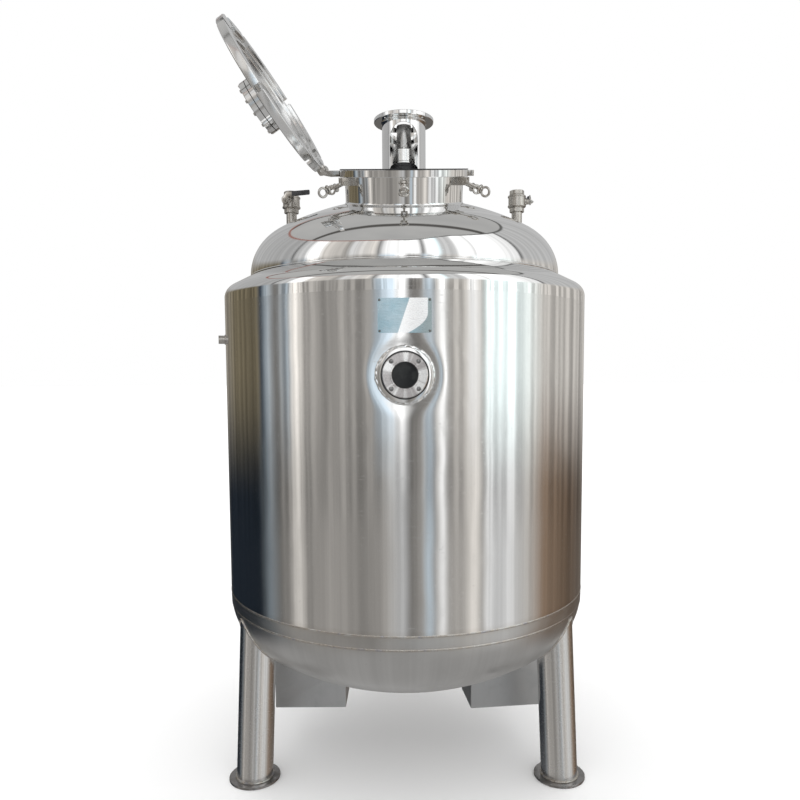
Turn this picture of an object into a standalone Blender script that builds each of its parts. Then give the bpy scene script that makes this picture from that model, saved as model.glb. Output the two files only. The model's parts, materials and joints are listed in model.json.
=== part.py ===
"""Jacketed, heated mixing tank on three pipe legs, modelled in metres with +Z up.

The origin is on the floor under the vessel's axis. -Y is the front, where the
manway, the name plate and the sight port are, and -X is the side of the lid's hinge.
"""

import math

import bmesh
import bpy
from mathutils import Matrix, Vector

# Running gap between pieces that touch, and the facets of a large round piece
GAP = 0.0003
ROUND = 36

# Jacket: wall, shoulder and lower dished end, which has a short straight lip
JACKET_RADIUS = 0.600
JACKET_SHEET = 0.003
JACKET_LOW = 0.560
END_LIP = 0.014
JACKET_TOP = 1.507
JACKET_KNUCKLE = 0.200
CROWN_RADIUS = 0.900
SHOULDER_FILLET = 0.040
SHOULDER_EDGE = 1.604
SHOULDER_SLOPE = math.radians(27.5)

# Inner vessel: wall and both dished ends
VESSEL_RADIUS = 0.515
VESSEL_SHEET = 0.004
DOME_SHEET = 0.005
VESSEL_LOW = 0.600
DOME_TANGENT = 1.609
DOME_LIP = 0.004
VESSEL_TOP = DOME_TANGENT - DOME_LIP
DOME_KNUCKLE = 0.160
VESSEL_KNUCKLE = 0.120

# Manway: its axis stands square on the dome's crown, leaning to the front
MANWAY_TILT = math.radians(15.5)
MANWAY_HEIGHT = 0.079
NECK_RADIUS = 0.179
NECK_BORE = 0.173
FLANGE_RADIUS = 0.195
FLANGE_THICK = 0.020
GASKET_BORE = 0.176
GASKET_THICK = 0.003

# Lid, with its heights measured from the top of the flange while closed
LID_RADIUS = 0.243
LID_UNDER = 0.004
LID_PLATE = 0.004
LID_RECESS = 0.204
LID_SEAT = 0.172
LID_CROWN = 0.0145
LID_LIP = 0.235
LID_RIM_LOW = -0.005
LID_RIM_HIGH = 0.020
LID_ROUNDING = 0.005
LID_OPEN = math.radians(122.4)
HINGE_REACH = 0.245
HINGE_PIN = 0.005
EYE_RADIUS = 0.012
STRAP_HALF_WIDTH = 0.0195
STRAP_THICK = 0.008
STRAP_REACH = 0.064
LATCH_HALF_WIDTH = 0.016
EAR_THICK = 0.008
EAR_RADIUS = 0.014
SIGHT_RADIUS = 0.081
SIGHT_BORE = 0.052
SIGHT_NECK = 0.060
SIGHT_GLASS = 0.067
SIGHT_RISE = 0.015
SIGHT_BASE = 0.018

# Swing bolts round the manway, with their angles from +X
BOLT_CIRCLE = 0.205
BOLT_PIVOT_DROP = 0.034
BOLT_DROOP = math.radians(22.0)
BOLT_SHANK = 0.005
BOLT_PIN = 0.0035
BOLT_EYE = 0.009
BOLT_EYE_HALF = 0.005
BOLT_NUT_SEAT = 0.050
BOLT_NUT_RADIUS = 0.014
BOLT_NUT_THICK = 0.006
RING_MAJOR = 0.0125
RING_MINOR = 0.0035
RING_CENTRE = 0.0705
LUG_THICK = 0.006
BOLT_PLACES = (
    ("swing_bolt_front", -90.0, 90.0),
    ("swing_bolt_right_front", -30.0, 0.0),
    ("swing_bolt_right_back", 30.0, 0.0),
    ("swing_bolt_back", 90.0, 90.0),
    ("swing_bolt_left_back", 150.0, 0.0),
    ("swing_bolt_left_front", -150.0, 0.0),
)

# Agitator stand, seal and shaft, on a vertical axis behind the manway
STAND_Y = 0.140
STAND_RADIUS = 0.0775
STAND_WALL = 0.004
STAND_TOP = 2.1733
STAND_FLANGE_RADIUS = 0.1057
STAND_FLANGE_THICK = 0.014
STAND_FLANGE_BORE = 0.050
STAND_HOLE_RADIUS = 0.0055
STAND_HOLE_CIRCLE = 0.091
WINDOW_HALF_WIDTH = 0.0485
WINDOW_LOW = 1.930
WINDOW_HIGH = 2.157
WINDOW_START = 0.020
NOZZLE_RADIUS = 0.038
NOZZLE_WALL = 0.004
SEAL_BASE_LOW = 1.999
SEAL_BASE_HIGH = 2.029
SEAL_BASE_RADIUS = 0.050
SEAL_BASE_ROUNDING = 0.013
SEAL_RADIUS = 0.040
SEAL_HIGH = 2.0775
SEAL_CLEARANCE = 0.002
COUPLING_RADIUS = 0.026
COUPLING_LOW = 2.083
COUPLING_HIGH = 2.165
SHAFT_RADIUS = 0.0175
SHAFT_HIGH = 2.140
SHAFT_LOW = 0.455
IMPELLER_HEIGHT = 0.500
IMPELLER_RADIUS = 0.200
IMPELLER_HUB = 0.034
BLADE_HALF_WIDTH = 0.030
BLADE_THICK = 0.006

# Ball valves on the dome, at either side of the axis
VALVE_X = 0.383
VALVE_LOW = 1.832
VALVE_HEIGHT = 0.071
NIPPLE_RADIUS = 0.0175
NIPPLE_WALL = 0.003
STEM_REACH = 0.042
HANDLE_LENGTH = 0.092

# Front sight port, name plate and side coupling
PORT_HEIGHT = 1.283
PORT_PAD_RADIUS = 0.0735
PORT_RING_RADIUS = 0.060
PORT_LIP_RADIUS = 0.0393
PORT_GLASS_SIGHT = 0.0346
PORT_GLASS_RADIUS = 0.0465
PORT_NECK_RADIUS = 0.045
PORT_NECK_BORE = 0.040
PLATE_WIDTH = 0.142
PLATE_HEIGHT = 0.091
PLATE_CENTRE = 1.439
PLATE_SHEET = 0.0015
SIDE_COUPLING_ANGLE = math.radians(194.0)
SIDE_COUPLING_HEIGHT = 1.400
SIDE_COUPLING_RADIUS = 0.0135
SIDE_COUPLING_BORE = 0.009
SIDE_COUPLING_DEPTH = 0.014
SIDE_COUPLING_REACH = 0.022

# Legs, feet and what hangs under the tank
LEG_CIRCLE = 0.5635
LEG_RADIUS = 0.057
LEG_WALL = 0.003
LEG_LEAN = math.radians(2.66)
FOOT_RADIUS = 0.080
FOOT_THICK = 0.008
LEG_PLACES = (("left_front", -150.0), ("right_front", -30.0), ("rear", 90.0))
COVER_WIDTH = 0.244
COVER_DEPTH = 0.160
COVER_CENTRE = 0.333
COVER_LOW = 0.132
COVER_SHEET = 0.002
RIGHT_COVER_TURN = math.radians(7.0)
OUTLET_RADIUS = 0.0255
OUTLET_BORE = 0.0235
OUTLET_LOW = 0.165

PARTS = "heated_mixing_tank"
CUTTERS = "cutters"

# Colour, roughness and metallic value of each finish
FINISHES = {
    "mirror_steel": ((0.80, 0.80, 0.79, 1.0), 0.08, 1.0),
    "brushed_steel": ((0.66, 0.65, 0.64, 1.0), 0.28, 1.0),
    "dull_steel": ((0.52, 0.52, 0.52, 1.0), 0.42, 1.0),
    "satin_pipe": ((0.62, 0.63, 0.65, 1.0), 0.22, 1.0),
    "grey_sheet": ((0.50, 0.51, 0.53, 1.0), 0.45, 0.8),
    "cast_steel": ((0.58, 0.57, 0.55, 1.0), 0.35, 1.0),
    "dark_steel": ((0.10, 0.10, 0.11, 1.0), 0.40, 0.9),
    "black_rubber": ((0.015, 0.015, 0.016, 1.0), 0.55, 0.0),
    "black_plastic": ((0.02, 0.02, 0.022, 1.0), 0.40, 0.0),
    "sight_glass": ((0.02, 0.022, 0.025, 1.0), 0.05, 0.0),
}


def clear_scene():
    for old in list(bpy.data.objects):
        bpy.data.objects.remove(old)
    for name in (PARTS, CUTTERS):
        bpy.context.scene.collection.children.link(bpy.data.collections.new(name))


def finish(name):
    """The Principled material for one finish, made on first use."""
    found = bpy.data.materials.get(name)
    if found:
        return found
    colour, roughness, metallic = FINISHES[name]
    material = bpy.data.materials.new(name)
    material.use_nodes = True
    shader = material.node_tree.nodes["Principled BSDF"]
    shader.inputs["Base Color"].default_value = colour
    shader.inputs["Roughness"].default_value = roughness
    shader.inputs["Metallic"].default_value = metallic
    material.diffuse_color = colour
    return material


def frame(name, location, rotation=(0.0, 0.0, 0.0), parent=None):
    """An empty that carries the pieces of one sub-assembly."""
    empty = bpy.data.objects.new(name, None)
    empty.location = location
    empty.rotation_euler = rotation
    empty.parent = parent
    bpy.data.collections[PARTS].objects.link(empty)
    return empty


def piece(name, mesh, coat, parent=None):
    """A finished part of the tank."""
    made = bpy.data.objects.new(name, mesh)
    mesh.materials.clear()
    mesh.materials.append(finish(coat))
    made.parent = parent
    bpy.data.collections[PARTS].objects.link(made)
    return made


def tool(name, mesh, parent=None):
    """A shape that cuts or joins a part, and is no part itself."""
    made = bpy.data.objects.new(name, mesh)
    made.parent = parent
    made.hide_render = True
    made.display_type = "WIRE"
    bpy.data.collections[CUTTERS].objects.link(made)
    return made


def mesh_from(bm, name):
    mesh = bpy.data.meshes.new(name)
    bm.to_mesh(mesh)
    bm.free()
    return mesh


def box_mesh(low, high, name="box"):
    bm = bmesh.new()
    bmesh.ops.create_cube(bm, size=1.0)
    low, high = Vector(low), Vector(high)
    bmesh.ops.scale(bm, vec=high - low, verts=bm.verts)
    bmesh.ops.translate(bm, vec=(low + high) / 2, verts=bm.verts)
    return mesh_from(bm, name)


def rod_mesh(radius, low, high, segments=20, axis="Z", name="rod"):
    """A closed cylinder from low to high along X, Y or Z."""
    bm = bmesh.new()
    bmesh.ops.create_cone(bm, cap_ends=True, segments=segments, radius1=radius,
                          radius2=radius, depth=high - low)
    bmesh.ops.translate(bm, vec=(0, 0, (low + high) / 2), verts=bm.verts)
    turns = {"X": Matrix.Rotation(math.pi / 2, 4, "Y"),
             "Y": Matrix.Rotation(-math.pi / 2, 4, "X"),
             "Z": Matrix.Identity(4)}
    bm.transform(turns[axis])
    return mesh_from(bm, name)


def joined(shapes, name="joined"):
    """One mesh from separate closed shapes, each given with its matrix."""
    bm = bmesh.new()
    for mesh, matrix in shapes:
        start = len(bm.verts)
        bm.from_mesh(mesh)
        bm.verts.ensure_lookup_table()
        bmesh.ops.transform(bm, matrix=matrix, verts=bm.verts[start:])
    return mesh_from(bm, name)


def outline_mesh(points, half_thickness, plane="XZ", name="outline"):
    """A flat outline with thickness, in the XZ plane or else flat in XY."""
    curve = bpy.data.curves.new(name, "CURVE")
    curve.dimensions = "2D"
    curve.fill_mode = "BOTH"
    curve.extrude = half_thickness
    spline = curve.splines.new("POLY")
    spline.points.add(len(points) - 1)
    for point, (x, y) in zip(spline.points, points):
        point.co = (x, y, 0.0, 1.0)
    spline.use_cyclic_u = True
    holder = bpy.data.objects.new(name, curve)
    bpy.context.scene.collection.objects.link(holder)
    bpy.context.view_layer.update()
    seen = holder.evaluated_get(bpy.context.evaluated_depsgraph_get())
    mesh = bpy.data.meshes.new_from_object(seen)
    bpy.data.objects.remove(holder)
    bm = bmesh.new()
    bm.from_mesh(mesh)
    bmesh.ops.remove_doubles(bm, verts=bm.verts, dist=0.00001)
    bmesh.ops.recalc_face_normals(bm, faces=bm.faces)
    if plane == "XZ":
        bm.transform(Matrix.Rotation(math.pi / 2, 4, "X"))
    bm.to_mesh(mesh)
    bm.free()
    return mesh


def arc(centre, radius, start, end, steps):
    """Points on an arc, with its angles in degrees."""
    turns = [math.radians(start + (end - start) * i / steps) for i in range(steps + 1)]
    return [(centre[0] + radius * math.cos(t), centre[1] + radius * math.sin(t))
            for t in turns]


def profile_mesh(points, closed, name):
    bm = bmesh.new()
    corners = [bm.verts.new((x, 0.0, z)) for x, z in points]
    for first, second in zip(corners, corners[1:]):
        bm.edges.new((first, second))
    if closed:
        bm.edges.new((corners[-1], corners[0]))
    return mesh_from(bm, name)


def spin(made, steps=ROUND):
    """Turns an object's profile about its Z axis."""
    screw = made.modifiers.new("Turn", "SCREW")
    screw.angle = math.tau
    screw.steps = steps
    screw.render_steps = steps
    screw.use_merge_vertices = True
    screw.merge_threshold = 0.00001
    screw.use_smooth_shade = True
    return made


def turned(name, points, coat, closed=True, steps=ROUND, parent=None):
    """A turned part: its profile runs down the outer side first."""
    return spin(piece(name, profile_mesh(points, closed, name), coat, parent), steps)


def turned_tool(name, points, closed=True, steps=ROUND, parent=None):
    return spin(tool(name, profile_mesh(points, closed, name), parent), steps)


def ring(outer, inner, low, high):
    """The profile of a plain ring or pipe."""
    return [(outer, high), (outer, low), (inner, low), (inner, high)]


def thicken(made, sheet):
    """Gives an outer skin its sheet thickness, inwards."""
    shell = made.modifiers.new("Sheet", "SOLIDIFY")
    shell.thickness = sheet
    shell.offset = -1.0
    shell.use_even_offset = True
    return made


def boolean(made, other, operation):
    step = made.modifiers.new(operation.title(), "BOOLEAN")
    step.operation = operation
    step.solver = "EXACT"
    step.object = other
    return made


def cut(made, *others):
    for other in others:
        boolean(made, other, "DIFFERENCE")
    return made


def join(made, *others):
    for other in others:
        boolean(made, other, "UNION")
    return made


def dished_end(radius, tangent, knuckle, crown, direction, grow=0.0, steps=(5, 4),
               lip=END_LIP):
    """A dished end's outer profile from its lip's rim to its pole, as (r, z) points.

    direction is 1 for an end that domes upwards and -1 for one that hangs down.
    """
    rise = math.sqrt((crown - knuckle) ** 2 - (radius - knuckle) ** 2)
    meet = math.atan2(rise, radius - knuckle)
    points = [(radius + grow, -lip)]
    for i in range(steps[0] + 1):
        t = meet * i / steps[0]
        points.append((radius - knuckle + (knuckle + grow) * math.cos(t),
                       (knuckle + grow) * math.sin(t)))
    for i in range(1, steps[1] + 1):
        t = meet + (math.pi / 2 - meet) * i / steps[1]
        points.append(((crown + grow) * math.cos(t), (crown + grow) * math.sin(t) - rise))
    points[-1] = (0.0, points[-1][1])
    return [(x, tangent + direction * z) for x, z in points]


def dome_profile(grow=0.0):
    end = dished_end(VESSEL_RADIUS, DOME_TANGENT, DOME_KNUCKLE, CROWN_RADIUS, 1, grow,
                     lip=DOME_LIP)
    return list(reversed(end))


def jacket_end_profile(grow=0.0):
    return dished_end(JACKET_RADIUS, JACKET_LOW, JACKET_KNUCKLE, CROWN_RADIUS, -1, grow)


def vessel_end_profile(grow=0.0):
    return dished_end(VESSEL_RADIUS, VESSEL_LOW, VESSEL_KNUCKLE, CROWN_RADIUS, -1, grow, (4, 3))


def shoulder_profile():
    """From the vessel's wall out along the slope, round the fillet and down."""
    inner = (VESSEL_RADIUS - 0.002, SHOULDER_EDGE)
    corner_drop = (JACKET_RADIUS - inner[0]) * math.tan(SHOULDER_SLOPE)
    corner = inner[1] - corner_drop
    reach = SHOULDER_FILLET * math.tan((math.pi / 2 - SHOULDER_SLOPE) / 2)
    centre = (JACKET_RADIUS - SHOULDER_FILLET, corner - reach)
    start = 90.0 - math.degrees(SHOULDER_SLOPE)
    return [inner] + arc(centre, SHOULDER_FILLET, start, 0.0, 5) + [(JACKET_RADIUS, JACKET_TOP)]


def dome_block():
    """The dome's outer form with the running gap, for cutting what stands on it."""
    points = dome_profile(GAP)
    low = VESSEL_TOP - 0.05
    return turned_tool("dome_block", points + [(points[-1][0], low), (0.0, low)], closed=False)


def tank_block():
    """The jacket's outer form with the running gap, for what hangs on its lower end."""
    top = JACKET_LOW + 0.15
    radius = JACKET_RADIUS + GAP
    return turned_tool("tank_block", [(0.0, top), (radius, top)] + jacket_end_profile(GAP),
                       closed=False)


def skin_block(name, radius, low, high):
    """A solid drum inside a round skin, for cutting what sits on that skin."""
    return turned_tool(name, [(0.0, high), (radius, high), (radius, low), (0.0, low)],
                       closed=False)


def make_jacket():
    """The outer wall, its shoulder and its lower end, with the holes for what passes."""
    wall = turned("jacket_wall",
                  ring(JACKET_RADIUS, JACKET_RADIUS - JACKET_SHEET,
                       JACKET_LOW + END_LIP + GAP, JACKET_TOP - GAP), "brushed_steel")
    port_hole = tool("port_hole", rod_mesh(PORT_NECK_RADIUS + GAP, -0.70, -0.55, 24, "Y"))
    port_hole.location.z = PORT_HEIGHT
    cut(wall, port_hole)
    shoulder = turned("jacket_shoulder", shoulder_profile(), "mirror_steel", closed=False)
    thicken(shoulder, JACKET_SHEET)
    cut(shoulder, skin_block("shoulder_bore", VESSEL_RADIUS + GAP, 1.50, 1.70))
    end = turned("jacket_bottom", jacket_end_profile(), "dull_steel", closed=False)
    thicken(end, JACKET_SHEET)
    cut(end, tool("outlet_hole", rod_mesh(OUTLET_RADIUS + GAP, 0.10, 0.30, 16)))


def make_vessel(manway):
    """The inner wall and both of its ends."""
    wall = turned("vessel_wall",
                  ring(VESSEL_RADIUS, VESSEL_RADIUS - VESSEL_SHEET,
                       VESSEL_LOW + END_LIP + GAP, VESSEL_TOP - GAP), "dull_steel")
    sight_hole = tool("sight_hole", rod_mesh(PORT_NECK_BORE, -0.60, -0.45, 24, "Y"))
    sight_hole.location.z = PORT_HEIGHT
    cut(wall, sight_hole)
    bottom = turned("vessel_bottom", vessel_end_profile(), "dull_steel", closed=False)
    thicken(bottom, VESSEL_SHEET)
    cut(bottom, tool("drain_hole", rod_mesh(OUTLET_BORE, 0.30, 0.45)))
    dome = turned("vessel_dome", dome_profile(), "mirror_steel", closed=False)
    thicken(dome, DOME_SHEET)
    mouth = tool("mouth_hole", rod_mesh(NECK_BORE, -0.20, 0.10, ROUND), manway)
    seal_hole = tool("seal_hole", rod_mesh(NOZZLE_RADIUS - NOZZLE_WALL, 1.7, 2.0))
    seal_hole.location.y = STAND_Y
    cut(dome, mouth, seal_hole)
    for side in (-1, 1):
        hole = tool("nipple_hole", rod_mesh(NIPPLE_RADIUS - NIPPLE_WALL, 1.6, 1.9, 16))
        hole.location.x = side * VALVE_X
        cut(dome, hole)


def lug_outline():
    """One ear of a swing bolt's lug, from the neck's wall to past the pivot."""
    root = NECK_RADIUS - 0.003
    radius = BOLT_EYE
    top = -FLANGE_THICK - 0.0008
    nose = arc((BOLT_CIRCLE, -BOLT_PIVOT_DROP), radius, -90.0, 0.0, 4)
    low = -BOLT_PIVOT_DROP - radius
    return [(root, low)] + nose + [(BOLT_CIRCLE + radius, top), (root, top)]


def make_manway(manway, dome):
    """Neck with its lugs, flange and gasket, round the manway's own axis."""
    neck = turned("manway_neck", ring(NECK_RADIUS, NECK_BORE, -0.120, -FLANGE_THICK - GAP),
                  "mirror_steel", parent=manway)
    ear = outline_mesh(lug_outline(), LUG_THICK / 2)
    pin = rod_mesh(BOLT_PIN, -BOLT_EYE_HALF - 0.004, BOLT_EYE_HALF + 0.004, 10, "Y")
    ears, pins = [], []
    offset = BOLT_EYE_HALF + 0.0005 + LUG_THICK / 2
    for _, angle, _ in BOLT_PLACES:
        turn = Matrix.Rotation(math.radians(angle), 4, "Z")
        ears += [(ear, turn @ Matrix.Translation((0, side * offset, 0))) for side in (-1, 1)]
        pivot = Matrix.Translation((BOLT_CIRCLE, 0, -BOLT_PIVOT_DROP))
        pins.append((pin, turn @ pivot))
    cut(neck, dome)
    join(neck, tool("lug_ears", joined(ears), manway), tool("lug_pins", joined(pins), manway))
    turned("manway_flange", ring(FLANGE_RADIUS, NECK_BORE, -FLANGE_THICK, 0.0),
           "mirror_steel", parent=manway)
    turned("manway_gasket", ring(FLANGE_RADIUS - 0.001, GASKET_BORE, GAP, GASKET_THICK),
           "black_rubber", parent=manway)


def make_hinge(manway):
    """The bracket on the flange's edge with its two ears, and the pin through them."""
    flange = turned_tool("flange_block", [(0.0, 0.02), (FLANGE_RADIUS + GAP, 0.02),
                                          (FLANGE_RADIUS + GAP, -0.04), (0.0, -0.04)],
                         closed=False, parent=manway)
    root = -FLANGE_RADIUS + 0.005
    low = -0.019
    high = -0.001
    nose = arc((-HINGE_REACH, 0.0), EAR_RADIUS, -4.0, 270.0, 14)
    ear = outline_mesh([(root, high)] + nose + [(-HINGE_REACH + 0.025, low), (root, low)],
                       EAR_THICK / 2)
    offset = STRAP_HALF_WIDTH + 0.001 + EAR_THICK / 2
    bracket = piece("hinge_bracket",
                    joined([(ear, Matrix.Translation((0, side * offset, 0)))
                            for side in (-1, 1)]), "mirror_steel", manway)
    web = tool("hinge_web", box_mesh((-0.226, -offset, low + 0.001), (root, offset, -0.011)),
               manway)
    bore = tool("hinge_bore", rod_mesh(HINGE_PIN + GAP, -0.05, 0.05, 16, "Y"), manway)
    bore.location.x = -HINGE_REACH
    cut(join(bracket, web), bore, flange)
    face = offset + EAR_THICK / 2 + GAP
    half = [(0.0, face + 0.004), (0.008, face + 0.004), (0.008, face), (HINGE_PIN, face)]
    pin = turned("hinge_pin", half + [(x, -z) for x, z in reversed(half)], "cast_steel",
                 closed=False, steps=16, parent=manway)
    pin.location.x = -HINGE_REACH
    pin.rotation_euler.x = math.pi / 2
    block = piece("latch_block", box_mesh((0.190, -LATCH_HALF_WIDTH, -0.018),
                                         (0.211, LATCH_HALF_WIDTH, -0.001)),
                  "cast_steel", manway)
    cut(block, flange)


def lid_notches(centre):
    """Slots for the swing bolts, and pockets in the rim for the hinge and the latch."""
    half = BOLT_SHANK + 0.005
    slot = [(LID_RADIUS + 0.02, -half), (LID_RADIUS + 0.02, half)]
    slot += arc((BOLT_CIRCLE, 0.0), half, 90.0, 270.0, 8)
    notch = outline_mesh(slot, 0.03, plane="XY")
    notches = [(notch, Matrix.Rotation(math.radians(angle), 4, "Z"))
               for _, angle, _ in BOLT_PLACES]
    slots = tool("lid_slots", joined(notches), centre)
    hinge_half = STRAP_HALF_WIDTH + 0.001 + EAR_THICK + 0.010
    latch_half = LATCH_HALF_WIDTH + 0.005
    low, outer = LID_RIM_LOW - 0.01, LID_RADIUS + 0.02
    near = -HINGE_REACH + EAR_RADIUS + 0.0055
    side = outline_mesh([(-outer, low), (-LID_RECESS + 0.02, low), (-LID_RECESS + 0.02, LID_UNDER),
                         (near, LID_UNDER), (near, 0.03), (-outer, 0.03)], hinge_half)
    hinge = tool("hinge_pocket", side, centre)
    latch = tool("latch_pocket", box_mesh((LID_RECESS - 0.02, -latch_half, low),
                                          (outer, latch_half, LID_UNDER)), centre)
    return slots, hinge, latch


def make_lid(manway):
    """The lid on its hinge frame, drawn closed and turned open about the pin."""
    hinge = frame("lid_hinge_axis", (-HINGE_REACH, 0, 0), (0, -LID_OPEN, 0), manway)
    centre = frame("lid_centre", (HINGE_REACH, 0, 0), parent=hinge)
    top = LID_UNDER + LID_PLATE
    edge = 0.0015
    shoulder = arc((LID_RADIUS - LID_ROUNDING, LID_RIM_HIGH - LID_ROUNDING), LID_ROUNDING,
                   90.0, 0.0, 3)
    crown = LID_CROWN + LID_PLATE
    step = LID_SEAT + LID_PLATE
    disc = turned("lid_disc", [(LID_LIP, top), (LID_LIP, LID_RIM_HIGH)] + shoulder + [
        (LID_RADIUS, LID_RIM_LOW + edge), (LID_RADIUS - edge, LID_RIM_LOW),
        (LID_RECESS, LID_RIM_LOW), (LID_RECESS, LID_UNDER), (LID_SEAT, LID_UNDER),
        (LID_SEAT, LID_CROWN), (SIGHT_BORE, LID_CROWN), (SIGHT_BORE, crown),
        (step, crown), (step, top)], "mirror_steel", parent=centre)
    cut(disc, *lid_notches(centre))

    low = top + GAP
    high = low + STRAP_THICK
    back = -EYE_RADIUS
    start = math.degrees(math.asin(low / EYE_RADIUS))
    strap_outline = [(STRAP_REACH, low)] + arc((0.0, 0.0), EYE_RADIUS, start, -180.0, 14)
    bend = 0.007
    strap_outline += arc((back + bend, high - bend), bend, 180.0, 90.0, 4)
    strap_outline += [(STRAP_REACH, high)]
    strap = piece("lid_strap", outline_mesh(strap_outline, STRAP_HALF_WIDTH),
                  "mirror_steel", hinge)
    cut(strap, tool("strap_bore", rod_mesh(HINGE_PIN + 0.0005, -0.05, 0.05, 16, "Y"), hinge))

    low = crown + GAP
    flange_low = low + SIGHT_RISE
    base_top = flange_low + SIGHT_BASE
    pocket = 0.004
    turned("lid_sight_base", [
        (SIGHT_RADIUS, base_top), (SIGHT_RADIUS, flange_low), (SIGHT_NECK, flange_low),
        (SIGHT_NECK, low), (SIGHT_BORE, low),
        (SIGHT_BORE, base_top - pocket), (SIGHT_GLASS + GAP, base_top - pocket),
        (SIGHT_GLASS + GAP, base_top)], "mirror_steel", steps=24, parent=centre)
    plug = SIGHT_BORE - 0.001
    turned("lid_sight_glass", [
        (0.0, base_top + pocket), (SIGHT_GLASS, base_top + pocket),
        (SIGHT_GLASS, base_top - pocket + GAP), (plug, base_top - pocket + GAP),
        (plug, LID_CROWN), (0.0, LID_CROWN)], "sight_glass", closed=False, steps=24,
        parent=centre)
    ring_low = base_top + GAP
    ring_top = ring_low + SIGHT_BASE
    turned("lid_sight_ring", [
        (SIGHT_RADIUS, ring_top), (SIGHT_RADIUS, ring_low), (SIGHT_GLASS + GAP, ring_low),
        (SIGHT_GLASS + GAP, ring_low + pocket), (SIGHT_BORE, ring_low + pocket),
        (SIGHT_BORE, ring_top)], "mirror_steel", steps=24, parent=centre)


def make_swing_bolts(manway):
    """Six bolts, each on its pivot frame, hanging out over the dome."""
    for name, angle, ring_turn in BOLT_PLACES:
        place = math.radians(angle)
        pivot = frame(name + "_pivot",
                      (BOLT_CIRCLE * math.cos(place), BOLT_CIRCLE * math.sin(place),
                       -BOLT_PIVOT_DROP), (0, 0, place), manway)
        droop = frame(name + "_droop", (0, 0, 0), (0, BOLT_DROOP, 0), pivot)
        bolt = piece(name, rod_mesh(BOLT_EYE, -BOLT_EYE_HALF, BOLT_EYE_HALF, 12, "Y"),
                     "cast_steel", droop)
        nut_end = BOLT_NUT_SEAT + BOLT_NUT_THICK
        shank = tool(name + "_shank", rod_mesh(BOLT_SHANK, 0.004, nut_end - 0.001, 8, "X"),
                     droop)
        collar = tool(name + "_collar",
                      rod_mesh(BOLT_NUT_RADIUS, BOLT_NUT_SEAT, nut_end, 12, "X"), droop)
        loop = turned_tool(name + "_ring", arc((RING_MAJOR, 0.0), RING_MINOR, 0.0, -288.0, 4),
                           steps=12, parent=droop)
        loop.location.x = RING_CENTRE
        loop.rotation_euler.x = math.radians(90.0 - ring_turn)
        bore = tool(name + "_bore", rod_mesh(BOLT_PIN + 0.0005, -0.02, 0.02, 10, "Y"), droop)
        cut(join(bolt, shank, collar, loop), bore)


def make_stand(dome):
    """The stand for the drive with its front window, and the seal inside it."""
    at = frame("stand_axis", (0, STAND_Y, 0))
    tube = turned("stand_tube", ring(STAND_RADIUS, STAND_RADIUS - STAND_WALL, 1.70, STAND_TOP),
                  "mirror_steel", steps=32, parent=at)
    spring = WINDOW_HIGH - WINDOW_HALF_WIDTH
    arch = [(-WINDOW_HALF_WIDTH, WINDOW_LOW), (WINDOW_HALF_WIDTH, WINDOW_LOW)]
    arch += arc((0.0, spring), WINDOW_HALF_WIDTH, 0.0, 180.0, 12)
    window = tool("stand_window", outline_mesh(arch, STAND_RADIUS / 2), at)
    window.location.y = -STAND_RADIUS / 2 - WINDOW_START
    cut(tube, dome, window)
    flange = turned("stand_flange", ring(STAND_FLANGE_RADIUS, STAND_FLANGE_BORE,
                                         STAND_TOP + GAP, STAND_TOP + STAND_FLANGE_THICK),
                    "mirror_steel", steps=32, parent=at)
    holes = [(rod_mesh(STAND_HOLE_RADIUS, 2.1, 2.3, 8),
              Matrix.Rotation(math.radians(45 + 90 * i), 4, "Z")
              @ Matrix.Translation((STAND_HOLE_CIRCLE, 0, 0))) for i in range(4)]
    cut(flange, tool("drive_bolt_holes", joined(holes), at))
    nozzle = turned("seal_nozzle", ring(NOZZLE_RADIUS, NOZZLE_RADIUS - NOZZLE_WALL, 1.70,
                                        SEAL_BASE_LOW - GAP), "mirror_steel", steps=24,
                    parent=at)
    cut(nozzle, dome)
    rounding = SEAL_BASE_ROUNDING
    rim = arc((SEAL_BASE_RADIUS - rounding, SEAL_BASE_HIGH - rounding), rounding, 90.0, 0.0, 4)
    inner = SHAFT_RADIUS + GAP
    turned("seal_base", rim + [(SEAL_BASE_RADIUS, SEAL_BASE_LOW), (inner, SEAL_BASE_LOW),
                               (inner, SEAL_BASE_HIGH)], "black_rubber", steps=24, parent=at)
    turned("seal_housing", ring(SEAL_RADIUS, SHAFT_RADIUS + SEAL_CLEARANCE,
                                SEAL_BASE_HIGH + GAP, SEAL_HIGH), "cast_steel", steps=24, parent=at)


def make_agitator():
    """Coupling, shaft and pitched-blade impeller, which turn together."""
    axis = frame("agitator_axis", (0, STAND_Y, 0))
    turned("agitator_coupling", ring(COUPLING_RADIUS, SHAFT_RADIUS + GAP, COUPLING_LOW,
                                     COUPLING_HIGH), "dark_steel", steps=24, parent=axis)
    piece("agitator_shaft", rod_mesh(SHAFT_RADIUS, SHAFT_LOW, SHAFT_HIGH, 20),
          "satin_pipe", axis)
    half = BLADE_HALF_WIDTH
    hub = turned("agitator_impeller", ring(IMPELLER_HUB, SHAFT_RADIUS + GAP,
                                           IMPELLER_HEIGHT - half, IMPELLER_HEIGHT + half),
                 "satin_pipe", steps=24, parent=axis)
    blade = box_mesh((IMPELLER_HUB - 0.006, -BLADE_THICK / 2, -half),
                     (IMPELLER_RADIUS, BLADE_THICK / 2, half))
    blades = []
    for i in range(4):
        blades.append((blade, Matrix.Translation((0, 0, IMPELLER_HEIGHT))
                       @ Matrix.Rotation(math.tau * i / 4, 4, "Z")
                       @ Matrix.Rotation(math.radians(45.0), 4, "X")))
    join(hub, tool("impeller_blades", joined(blades), axis))


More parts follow.
